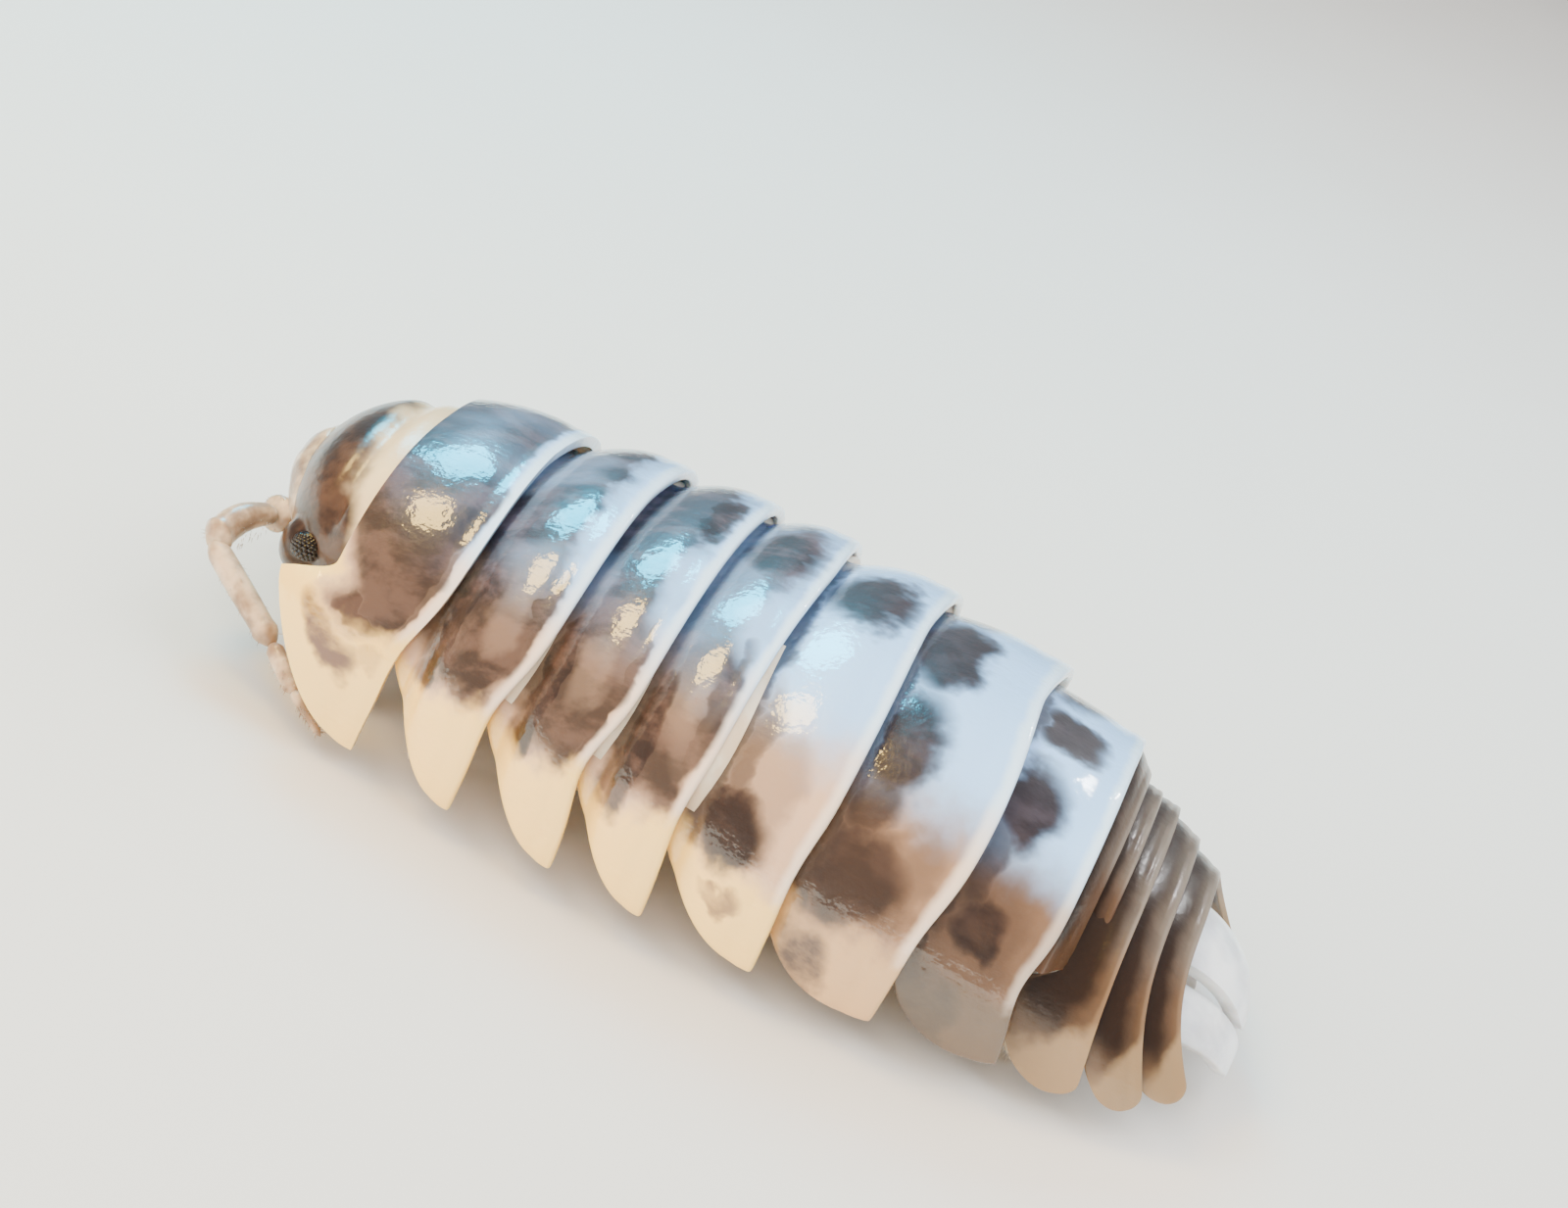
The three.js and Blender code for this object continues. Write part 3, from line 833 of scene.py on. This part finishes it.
@dataclass
class Trunk:
    """All shell plates with the soft body inside them."""

    plates: list[Plate] = field(
        default_factory=lambda: [
            Plate("pereonite_1", 2.18, 3.42, 3.4, -0.12, 1.67, 2, 0, -0.3, 0.09, 0.13, COLLAR_REACH),
            Plate("pereonite_2", 3.65, 3.75, 3.56, -0.08, 1.35, 2, 0, -0.22, 0.08, 0.15),
            Plate("pereonite_3", 5.01, 3.94, 3.63, -0.04, 1.34, 2, 0, -0.05, 0.04, 0.2),
            Plate("pereonite_4", 6.3, 4.02, 3.67, 0, 1.3, 2.1, 0, -0.04, -0.05, 0.08),
            Plate("pereonite_5", 7.75, 3.98, 3.66, 0, 1.25, 2.5, 0, 0.06, 0.12, 0.07),
            Plate("pereonite_6", 9.52, 3.82, 3.46, 0, 1.15, 4, 0.08, -0.12, 0.2, 0.08),
            Plate("pereonite_7", 11, 3.46, 3.02, 0.02, 1.05, 4, 0.15, 0.06, 0.02, 0.15),
            Plate("pleonite_1", 11.26, 2.85, 2.72, 1.4, 0.05, 1, 0, 0.05),
            Plate("pleonite_2", 11.53, 2.8, 2.54, 1.35, 0.05, 1, 0, 0.08),
            Plate("pleonite_3", 11.84, 3.08, 2.36, -0.12, 1.0, 4, 0.3, 0.27, reach=RING_REACH),
            Plate("pleonite_4", 12.27, 2.72, 2.14, 0, 0.9, 4, 0.3, 0.75),
            Plate("pleonite_5", 12.7, 2.3, 1.92, 0.2, 0.75, 4, 0.3, 1.0),
        ]
    )

    def finishes(self) -> list[ShellFinish]:
        """One finish for each plate: marbled in front, clear dark patches behind, striped tail rings."""
        first = {
            "field_side": 0.78,
            "lobe_from": 0.79,
            "lobe_lean": 0.1,
            "lobe_spots": (Spot(0.86, 0.52, 0.05, 0.26), Spot(0.83, 0.85, 0.03, 0.1, 0.5)),
        }
        second, third, fourth = {}, {"field_depth": 0.95}, {"field_depth": 0.95, "lobe_from": 0.88}
        clear = {"field_depth": 0.0, "marbling": 0.2, "lobe_lean": 0.05}
        # The first plate's thin spot at side 0.76 is painted shade along the fold of its side lobe. The
        # last spot of the second to fourth plates is a dark band along the front edge: painted shade under
        # the rim of the plate before, over dark pigment.
        first["dark_and_shade_spots"] = (
            Spot(0.76, 0.6, 0.02, 0.3),
            Spot(0.58, 0.25, 0.2, 0.3, 0.95),
            Spot(0.6, 0.88, 0.16, 0.04, 0.9),
        )
        second["dark_and_shade_spots"] = (
            Spot(0.66, 0.35, 0.3, 0.1),
            Spot(0.57, 0.85, 0.2, 0.05, 0.95),
            Spot(0.4, 0.3, 0.6, 0.1, 0.8),
        )
        third["dark_and_shade_spots"] = (
            Spot(0.7, 0.38, 0.28, 0.1),
            Spot(0.62, 0.87, 0.2, 0.04, 0.95),
            Spot(0.02, 0.76, 0.09, 0.14),
            Spot(0.4, 0.3, 0.6, 0.08, 0.8),
        )
        fourth["dark_and_shade_spots"] = (
            Spot(0.7, 0.42, 0.24, 0.15),
            Spot(0.56, 0.84, 0.22, 0.1, 0.9),
            Spot(0.0, 0.6, 0.12, 0.32),
            Spot(0.5, 0.3, 0.6, 0.08, 0.8),
        )
        # The large pale spots on the crown near the rear are painted sheen of the cool light; the small
        # faint ones lower down are paler pigment.
        first["pale_spots"] = (Spot(0.2, 0.97, 0.3, 0.08, 0.6),)
        second["pale_spots"] = (Spot(0.18, 0.92, 0.24, 0.16, 0.75), Spot(0.57, 0.67, 0.1, 0.12, 0.15))
        third["pale_spots"] = (Spot(0.25, 0.92, 0.17, 0.22, 0.75), Spot(0.6, 0.62, 0.09, 0.13, 0.15))
        fourth["pale_spots"] = (Spot(0.24, 0.9, 0.15, 0.26, 0.75), Spot(0.54, 0.68, 0.06, 0.08, 0.15))
        front = [
            ShellFinish("shell_1", field_rear=0.9, **first),
            ShellFinish("shell_2", 0.003, field_rear=0.9, **second),
            ShellFinish("shell_3", 0.006, field_rear=0.9, **third),
            ShellFinish("shell_4", 0.009, field_rear=0.92, **fourth),
        ]
        # Painted shade along the front edge, under the rim of the plate before.
        shade = Spot(0.5, 0.2, 0.9, 0.1, 0.9)
        fifth = (
            Spot(0.0, 0.55, 0.1, 0.3),
            Spot(0.6, 0.36, 0.16, 0.12, 0.8),
            Spot(0.78, 0.44, 0.1, 0.28),
            shade,
            Spot(0.62, 0.58, 0.12, 0.17, 0.4),
        )
        sixth = (
            Spot(0.0, 0.38, 0.15, 0.24),
            Spot(0.36, 0.38, 0.18, 0.22),
            Spot(0.56, 0.38, 0.12, 0.16, 0.9),
            shade,
            Spot(0.74, 0.46, 0.12, 0.34, 0.95),
            Spot(0.68, 0.74, 0.14, 0.14, 0.4),
        )
        seventh = (
            Spot(0.0, 0.48, 0.07, 0.26),
            Spot(0.31, 0.46, 0.16, 0.24),
            Spot(0.52, 0.38, 0.17, 0.12, 0.85),
            shade,
            Spot(0.74, 0.5, 0.22, 0.34, 0.45),
            Spot(0.71, 0.52, 0.095, 0.22, 1.0, 0.06),
            # Painted shade along the front of the side, under the rim of the plate before.
            Spot(0.71, 0.3, 0.12, 0.1, 0.6),
        )
        lobes = (
            (Spot(0.93, 0.6, 0.035, 0.16, 0.8),),
            (Spot(0.96, 0.42, 0.07, 0.16),),
            (Spot(0.93, 0.4, 0.08, 0.24, 0.7),),
        )
        beige = Pigments(
            cream=srgb(200, 158, 106), lobe_dark=srgb(66, 42, 26), pale_warm=srgb(148, 114, 86)
        )
        olive = Pigments(
            cream=srgb(86, 66, 44),
            lobe_dark=srgb(46, 32, 20),
            pale_warm=srgb(112, 84, 62),
            rim_warm=srgb(190, 172, 156),
        )
        rows = zip((0.012, 0.016, 0.021), (fifth, sixth, seventh), lobes, (Pigments(), beige, olive))
        middle = [
            ShellFinish(f"shell_{5 + i}", shift, dark_and_shade_spots=dark, lobe_spots=lobe, pigments=tint, **clear)
            for i, (shift, dark, lobe, tint) in enumerate(rows)
        ]
        tail = Pigments(
            dark=srgb(36, 24, 18),
            dark_warm=srgb(32, 18, 9),
            mid=srgb(80, 62, 48),
            mid_warm=srgb(80, 56, 38),
            pale=srgb(98, 84, 72),
            pale_warm=srgb(92, 68, 46),
            rim=srgb(118, 106, 94),
            rim_warm=srgb(118, 92, 66),
            cream=srgb(142, 116, 84),
        )
        ring = ShellFinish(
            "tail_ring",
            field_depth=0.4,
            lobe_from=0.9,
            lobe_lean=0.3,
            stripe=0.95,
            pigments=tail,
            gloss=TAIL_GLOSS,
        )
        rear = [replace(ring, name=f"tail_ring_{i + 1}", shift=0.03 + 0.004 * i) for i in range(5)]
        umber = replace(tail, pale_warm=tail.mid_warm, rim_warm=tail.mid_warm)
        rear[:2] = [replace(ring, lobe_from=1.2, pigments=umber) for ring in rear[:2]]
        return front + middle + rear

    def build(self, effects: Effects) -> None:
        """Makes and dresses every plate."""
        for before, plate in zip(self.plates, self.plates[1:]):
            plate.follow(before)
        for plate, finish in zip(self.plates, self.finishes()):
            plate.build(finish.build(effects))

    def section(self, y: float) -> tuple[float, float]:
        """Half width and crown height of the body's inside at a place along it, counted from the datum."""
        for plate in self.plates:
            if y <= plate.rear:
                share = (y - plate.front) / (plate.rear - plate.front)
                return plate.sizes(max(0.0, min(1.0, share)))
        return self.plates[-1].half, self.plates[-1].crown

    def build_body(self, material: Material) -> None:
        """Makes the soft body that fills the plates and shows between their side lobes."""
        front, rear = self.plates[0].front + 0.1, self.plates[-1].rear - 0.15

        def place(along: float, turn: float) -> Vector:
            y = lerp(front, rear, along)
            half, crown = self.section(y)
            crown += BASE
            close = (1 - abs(2 * along - 1) ** 8) ** 0.5
            x = (half - BODY_INSET) * close * signed_power(math.cos(turn), 0.8)
            up = math.sin(turn)
            ridges = 0.03 * math.sin(y * math.tau / 1.45)
            if up >= 0:
                z = BODY_WAIST + (crown - BODY_SINK - BODY_WAIST) * close * up**0.8
            else:
                z = BODY_WAIST - (0.28 + ridges) * close * abs(up) ** 0.4
            return Vector((x, y + FORE_SHIFT, z))

        piece = shaped_ball("belly_skin", 64, 96, place)
        smooth(piece, 0)
        dress(piece, material, Slot.LIMB)


@dataclass
class Head:
    """Head with its forehead shield, lobes, eyes and mouthparts."""

    centre: Vector = default(0, -5.59, 2.17)
    size: Vector = default(2.12, 1.47, 1.38)

    def surface(self, along: float, turn: float) -> Vector:
        """Point of the head, pole to pole from left to right."""
        offset = Vector(pole_offset(along, turn))
        _, y, z = offset
        groove = 0.07 * bell(-0.28, 0.09, y) * ease(-0.2, 0.3, z)
        band = 0.05 * ease(-0.1, 0.15, y) * ease(0.0, 0.4, z)
        return self.centre + stretched(self.size, offset) * (1 + band - groove)

    def build_skull(self, material: Material) -> None:
        """Makes the skull with the lobes before the eyes."""
        skull = shaped_ball("skull", 96, 96, self.surface)
        pieces = [skull]
        for side in Side:
            centre = Vector((side.value * 1.57, -6.32, 1.74))
            lobe = ball_place(centre, Vector((0.42, 0.34, 0.43)))
            pieces.append(shaped_ball(f"lobe_{side.label}", 32, 24, lobe))
        head = join("head_skin", pieces)
        apply_modifier(head, "REMESH", mode="VOXEL", voxel_size=0.035 * MM)
        apply_modifier(head, "SMOOTH", factor=0.8, iterations=10)
        smooth(head, 0)
        dress(head, material, Slot.HEAD, "head")

    def build_shield(self, material: Material) -> None:
        """Makes the raised forehead shield."""

        def place(along: float, turn: float) -> Vector:
            x = lerp(1.5, -1.5, along)
            close = max(0.0, 1 - (x / 1.5) ** 6) ** 0.5
            bumps = 0.03 * noise.noise(Vector((x * 3.1, turn * 1.3, 2.0)))
            thick = (0.17 + bumps) * close
            tall = (0.5 + 0.05 * math.sin(x * 6) + bumps) * close
            rise = math.sin(turn)
            y = -7.08 + 0.26 * x * x + thick * math.cos(turn) + 0.16 * rise * rise
            z = 2.24 - 0.1 * x * x + tall * rise
            return Vector((x, y, z))

        shield = shaped_ball("forehead_shield", 32, 64, place)
        smooth(shield, 1)
        dress(shield, material, Slot.HEAD)

    def build_eye(self, side: Side, material: Material) -> None:
        """Makes an eye of small lenses in rows on a dark mound."""
        low, high = node_box(f"eye_{side.label}")
        centre = (low + high) / 2
        size = (high - low) / 2
        pieces = [shaped_ball(f"mound_{side.label}", 32, 20, ball_place(centre, size))]
        for row in range(-3, 4):
            for column in range(-3, 4):
                tilt = Vector((side.value, 0.36 * column + 0.18 * (row % 2) - 0.3, 0.34 * row + 0.25))
                spot = centre + stretched(size, tilt.normalized()) * 0.9
                deselect()
                bpy.ops.mesh.primitive_ico_sphere_add(subdivisions=2, radius=0.045 * MM, location=spot * MM)
                bpy.ops.object.transform_apply(location=True, rotation=True, scale=True)
                pieces.append(bpy.context.object)
        eye = join(f"eye_{side.label}_lenses", pieces)
        smooth(eye, 0)
        dress(eye, material, Slot.EYE, f"eye_{side.label}")

    def build_mouth(self, material: Material) -> None:
        """Makes the jaw feet under the head."""
        low, high = node_box("mouthparts")
        pieces = []
        for side in Side:
            for part, (reach, width) in enumerate(((1.0, 0.42), (0.66, 0.22))):
                middle = side.value * (0.3 + 0.24 * part)

                def place(along: float, turn: float) -> Vector:
                    y = lerp(high.y, lerp(high.y, low.y, reach), along)
                    close = math.sin(math.pi * along) ** 0.6
                    x = middle + width * close * math.cos(turn) * (1 - 0.4 * along)
                    z = low.z + 0.3 + 0.25 * close * math.sin(turn) - 0.05 * part
                    return Vector((x, y, z))

                pieces.append(shaped_ball(f"jaw_{side.label}_{part}", 24, 24, place))
        mouth = join("jaw_feet", pieces)
        smooth(mouth, 0)
        dress(mouth, material, Slot.LIMB, "mouthparts")


@dataclass
class Article:
    """One article of a limb: a tube that widens towards its far end and closes in a rounded collar."""

    start: Vector
    end: Vector
    near: float
    far: float
    belly: float = 0.12
    bow: Vector = default(0, 0, 0)

    def build(self, name: str, segments: int = 20, rings: int = 26) -> Piece:
        """Makes the article as a closed mesh."""
        axis = (self.end - self.start).normalized()
        aside = axis.cross(Vector((0.3, 0.2, 0.93))).normalized()
        up = aside.cross(axis)
        length = (self.end - self.start).length

        def place(along: float, turn: float) -> Vector:
            radius = lerp(self.near, self.far, along) * (1 + self.belly * math.sin(math.pi * along))
            radius *= 1 + 0.16 * bell(0.9, 0.06, along)
            close = min(1.0, math.sin(math.pi * along) * 3.2) ** 0.5 if 0 < along < 1 else 0.0
            beyond = lerp(-self.near * 0.5, self.far * 0.5, ease(0, 1, along))
            centre = self.start + axis * (length * along + beyond * (1 - close))
            centre += self.bow * math.sin(math.pi * along)
            return centre + (aside * math.cos(turn) + up * math.sin(turn)) * radius * close

        return shaped_ball(name, segments, rings, place)


def bristles(name: str, roots: Iterable[Root], length: float, width: float) -> Piece:
    """Short stiff hairs as thin four-sided cones in one mesh.

    Args:
        name: Name of the piece.
        roots: Root and direction of each hair.
        length: Length in millimetres.
        width: Width at the root in millimetres.

    Returns:
        The piece.
    """
    shape = bmesh.new()
    for root, direction in roots:
        axis = direction.normalized()
        aside = axis.orthogonal().normalized()
        up = axis.cross(aside)
        ring = [
            shape.verts.new((root + (aside * math.cos(a) + up * math.sin(a)) * width / 2) * MM)
            for a in (0, math.pi / 2, math.pi, 3 * math.pi / 2)
        ]
        top = shape.verts.new((root + axis * length) * MM)
        shape.faces.new(reversed(ring))
        for here, there in zip(ring, ring[1:] + ring[:1]):
            shape.faces.new((here, there, top))
    mesh = bpy.data.meshes.new(name)
    shape.to_mesh(mesh)
    shape.free()
    return placed(name, mesh)


def hair_roots(articles: Sequence[Article], each: int, draw: random.Random) -> list[Root]:
    """Roots and directions of hairs spread over some articles."""
    roots = []
    for article in articles:
        axis = (article.end - article.start).normalized()
        aside = axis.orthogonal().normalized()
        up = axis.cross(aside)
        for _ in range(each):
            along, turn = draw.uniform(0.25, 0.97), draw.uniform(0, math.tau)
            out = aside * math.cos(turn) + up * math.sin(turn)
            radius = lerp(article.near, article.far, along) * 0.95
            roots.append((article.start.lerp(article.end, along) + out * radius, out * 0.7 + axis * 0.7))
    return roots


@dataclass
class Antenna:
    """Feeler: short base articles, two long ones with an elbow between them, and the lash."""

    side: Side
    elbow: Vector
    wrist: Vector
    middle: Vector
    tip: Vector

    def build(self, material: Material, draw: random.Random) -> None:
        """Makes and dresses the stalk and the lash."""
        base = Vector((self.side.value * 0.7, -6.9, 1.57))
        shoulder = Vector((self.side.value * 1.08, -7.0, 1.68))
        bow = Vector((self.side.value * 0.02, -0.1, 0.09))
        stalk = [
            Article(base, shoulder, 0.2, 0.22),
            Article(shoulder, self.elbow, 0.15, 0.22, bow=bow),
            Article(self.elbow, self.wrist, 0.16, 0.15),
        ]
        root = self.wrist.lerp(self.middle, 0.03)
        lash = [Article(root, self.middle, 0.12, 0.1), Article(self.middle, self.tip, 0.08, 0.04)]
        for kind, articles, node in (("stalk", stalk, "antenna"), ("lash", lash, "antenna_lash")):
            name = f"{node}_{self.side.label}"
            pieces = [article.build(f"{name}_{i}") for i, article in enumerate(articles)]
            pieces.append(bristles(f"{name}_hairs", hair_roots(articles, 70, draw), 0.09, 0.014))
            piece = join(f"feeler_{kind}_{self.side.label}", pieces)
            smooth(piece, 0)
            dress(piece, material, Slot.LIMB, name)


@dataclass
class Leg:
    """Walking leg of five articles, which turns in to the knee and then out and down to the floor."""

    side: Side
    index: int
    plate: Plate
    before: float
    belly: float

    def points(self) -> list[Vector]:
        """Joints of the leg from the underside to the floor."""
        middle = (self.before + self.plate.rear) / 2 + 0.1 + FORE_SHIFT
        stagger = 0.12 if self.index % 2 == 0 else -0.12
        stride = lerp(-0.75, 0.8, self.index / 6) + self.side.value * stagger
        root_x = self.plate.half - 1.55
        knee_x = root_x - 0.75
        foot_x = self.plate.half - 1.3
        shares = (
            (root_x, 0.0, self.belly - 0.5 + BASE),
            (knee_x, 0.1, 0.6 + BASE),
            (lerp(knee_x, foot_x, 0.28), 0.3, 0.42 + BASE),
            (lerp(knee_x, foot_x, 0.5), 0.5, 0.2 + BASE),
            (lerp(knee_x, foot_x, 0.85), 0.85, -0.22 + BASE),
            (foot_x, 1.0, 0.07),
        )
        return [Vector((self.side.value * x, middle + stride * share, z)) for x, share, z in shares]

    def build(self, material: Material, draw: random.Random) -> None:
        """Makes and dresses the leg."""
        joints = self.points()
        radii = (0.26, 0.25, 0.24, 0.22, 0.17, 0.06)
        ends = zip(joints, joints[1:], radii, radii[1:])
        articles = [Article(start, end, near * 0.86, far) for start, end, near, far in ends]
        name = f"leg_{self.index + 1}_{self.side.label}"
        pieces = [article.build(f"{name}_{i}", 16, 18) for i, article in enumerate(articles)]
        pieces.append(bristles(f"{name}_hairs", hair_roots(articles[2:], 14, draw), 0.12, 0.02))
        leg = join(f"walking_{name}", pieces)
        smooth(leg, 0)
        dress(leg, material, Slot.LIMB, name)


@dataclass(frozen=True)
class Blade:
    """A tail blade that arcs down from its root to its tip."""

    front: float
    top: float
    length: float
    drop: float

    def point(self, along: float, x: float, fall: float) -> Vector:
        """Point of the blade's back."""
        bend = BLADE_TURN * along
        y = self.front + self.length * math.sin(bend)
        z = self.top - fall - self.drop * (1 - math.cos(bend))
        return Vector((x, y, z))


@dataclass
class Tail:
    """Tail plate, uropods and gill plates."""

    telson: Blade = Blade(6.26, 2.13, 1.46, 1.28)
    uropod: Blade = Blade(6.48, 1.73, 1.3, 0.95)

    def telson_half(self, along: float) -> float:
        """Half width of the tail plate."""
        return lerp(0.98, 0.4, along**1.3)

    def build_telson(self, material: Material) -> None:
        """Makes the tail plate."""

        def place(along: float, across: float) -> Vector:
            side = 2 * across - 1
            tip = 1 - ease(0.86, 1.0, along) * side**2 * 0.3
            reach = along * (1 - 0.05 * side**2)
            fall = 0.28 * side**2 * (1 - 0.5 * along)
            return self.telson.point(reach, side * self.telson_half(along) * tip, fall)

        piece = shaped_grid("tail_plate", 24, 20, place)
        thicken(piece, 0.22, 0.05)
        dress(piece, material, Slot.TAIL, "telson")

    def build_uropod(self, side: Side, material: Material) -> None:
        """Makes the blade beside the tail plate."""

        def place(along: float, across: float) -> Vector:
            out = across if side is Side.LEFT else 1 - across
            width = lerp(0.62, 0.34, along) * (1 - 0.35 * ease(0.8, 1.0, along))
            x = self.telson_half(along) - 0.12 + (width + 0.2) * out
            fall = 0.2 + 0.45 * out**2 * (1 - 0.4 * along)
            return self.uropod.point(along, side.value * x, fall)

        piece = shaped_grid(f"uropod_{side.label}_blade", 20, 12, place)
        thicken(piece, 0.2, 0.05)
        dress(piece, material, Slot.TAIL, f"uropod_{side.label}")

    def build_gills(self, material: Material) -> None:
        """Makes the five overlapping pairs of gill plates."""
        low, high = node_box("gill_plates")
        pieces = []
        for row in range(5):
            for side in Side:
                width = 0.86 - row * 0.1
                x, y, z = side.value * (0.74 - row * 0.07), 0.38 + row * 0.34, 0.13 - row * 0.01
                centre = Vector((x, low.y + y, low.z + z))

                def place(along: float, turn: float) -> Vector:
                    polar = math.pi * along
                    around = math.sin(polar) ** 0.7
                    front = around * math.cos(turn)
                    rise = around * math.sin(turn) * 0.06 - 0.1 * front
                    return centre + Vector((math.cos(polar) * width, front * 0.36, rise))

                pieces.append(shaped_ball(f"gill_{row}_{side.label}", 32, 24, place))
        gills = join("gill_flaps", pieces)
        smooth(gills, 0)
        dress(gills, material, Slot.LIMB, "gill_plates")


@dataclass(frozen=True)
class Lamp:
    """Soft square light that faces the animal. Place and side are in millimetres, the power in watts."""

    name: str
    place: Vector
    size: float
    power: float
    colour: Colour
    mirrored: bool = True

    def build(self) -> None:
        """Hangs the light. The shell mirrors it only if `mirrored` is set."""
        data = bpy.data.lights.new(self.name, "AREA")
        data.size = self.size * MM
        data.energy = self.power
        data.color = self.colour
        light = placed(self.name, data)
        light.location = self.place * MM
        light.rotation_euler = (-self.place).to_track_quat("-Z", "Y").to_euler()
        light.visible_glossy = self.mirrored


@dataclass
class Studio:
    """Pale floor, soft lights and the camera."""

    place: Vector = default(35.744, 3.6, 19.42)
    yaw: float = -0.109
    pitch: float = 0.419
    roll: float = 0.425
    lens: float = 67.5
    sensor: float = 36.0
    clip: tuple[float, float] = (0.0005, 20.0)
    floor_size: float = 3.0
    floor_colours: tuple[Colour, Colour] = (srgb(214, 208, 200), srgb(222, 217, 210))
    room_colour: Colour = (0.86, 0.88, 0.92)
    room_strength: float = 0.3

    def build_camera(self) -> None:
        """Places the camera at the photograph's viewing angle."""
        level = math.cos(self.pitch)
        forward = Vector((-level * math.cos(self.yaw), level * math.sin(self.yaw), -math.sin(self.pitch)))
        aside = forward.cross(Vector((0, 0, 1))).normalized()
        upright = aside.cross(forward)
        right = aside * math.cos(self.roll) + upright * math.sin(self.roll)
        up = upright * math.cos(self.roll) - aside * math.sin(self.roll)
        data = bpy.data.cameras.new("camera")
        data.sensor_width = self.sensor
        data.lens = self.lens
        data.clip_start, data.clip_end = self.clip
        camera = placed("camera", data)
        turn = Matrix((right, up, -forward)).transposed().to_4x4()
        camera.matrix_world = Matrix.Translation(self.place * MM) @ turn
        bpy.context.scene.camera = camera

    def build_floor(self) -> None:
        """Lays the pale floor."""
        deselect()
        bpy.ops.mesh.primitive_plane_add(size=self.floor_size)
        floor = new_piece("floor")
        material, sheet = blank_material("pale_floor")
        colour = sheet.mix(sheet.noise(sheet.object_place(), 60.0), *self.floor_colours)
        shader = sheet.add("BsdfPrincipled", {"Base Color": colour, "Roughness": 0.7})
        sheet.add("OutputMaterial", {"Surface": shader.outputs[0]})
        floor.data.materials.append(material)

    def build_lights(self) -> None:
        """Hangs the lamps that the shell mirrors as glints, two softboxes that it doesn't, and the room."""
        crest, flank = Vector((1.6, -2.0, 3.4)), Vector((1, 4, 3))
        cool, warm = Vector((-0.6, -0.42, 0.68)), Vector((0.04, -0.5, 0.87))
        above = Vector((-0.79, 0.2, 0.58))
        lamps = (
            Lamp("cool_glint", crest + cool * 60, 22, 0.045, (0.0, 0.62, 0.95)),
            Lamp("warm_glint", crest + warm * 60, 21, 0.036, (1.0, 0.66, 0.2)),
            Lamp("white_glint", flank + above * 70, 2.5, 0.005, (1.0, 1.0, 1.0)),
            Lamp("cool_softbox", Vector((-20, 60, 90)), 160, 0.36, (0.88, 0.94, 1.0), False),
            Lamp("warm_softbox", Vector((75, -50, 40)), 160, 0.5, (1.0, 0.9, 0.78), False),
        )
        for lamp in lamps:
            lamp.build()
        world = bpy.data.worlds.new("room")
        world.use_nodes = True
        background = world.node_tree.nodes["Background"]
        background.inputs[0].default_value = (*self.room_colour, 1.0)
        background.inputs[1].default_value = self.room_strength
        bpy.context.scene.world = world


def main() -> None:
    """Builds the animal and the studio in order."""
    effects = Effects(mirror_effect(), patch_effect(), pit_effect())
    studio = Studio()
    studio.build_camera()
    studio.build_floor()
    studio.build_lights()

    trunk = Trunk()
    trunk.build(effects)
    skin = LimbFinish("belly_skin", srgb(216, 190, 158), srgb(232, 216, 192)).build(effects)
    trunk.build_body(skin)

    head = Head()
    head.build_skull(SkullFinish().build(effects))
    shield = LimbFinish("shield", srgb(120, 94, 68), srgb(200, 174, 140), scale=2200.0)
    head.build_shield(shield.build(effects))
    eye = LimbFinish("eye", srgb(14, 8, 8), srgb(30, 16, 14), gloss=EYE_GLOSS).build(effects)
    feeler = LimbFinish("feeler", srgb(140, 112, 86), srgb(208, 180, 148), scale=2600.0).build(effects)
    leg_finish = LimbFinish("leg", srgb(214, 190, 160), srgb(232, 216, 192)).build(effects)
    head.build_mouth(leg_finish)
    draw = random.Random(7)
    ends = {
        Side.LEFT: ((2.1, -7.36, 1.4), (2.72, -5.94, 0.79), (3.12, -5.34, 0.53), (3.36, -4.74, 0.27)),
        Side.RIGHT: ((-2.05, -7.34, 1.15), (-2.7, -6.04, 0.65), (-3.05, -5.44, 0.45), (-3.3, -4.84, 0.25)),
    }
    bellies = (1.3, 1.45, 1.5, 1.5, 1.5, 1.45, 1.4)
    for side in Side:
        head.build_eye(side, eye)
        Antenna(side, *[Vector(point) for point in ends[side]]).build(feeler, draw)
        before = 0.45
        for index, belly in enumerate(bellies):
            Leg(side, index, trunk.plates[index], before, belly).build(leg_finish, draw)
            before = trunk.plates[index].rear

    tail = Tail()
    white = LimbFinish("tail_blade", srgb(236, 238, 240), srgb(206, 208, 212)).build(effects)
    tail.build_telson(white)
    for side in Side:
        tail.build_uropod(side, white)
    tail.build_gills(LimbFinish("gill", srgb(226, 222, 212), srgb(244, 242, 238)).build(effects))


if __name__ == "__main__":
    main()
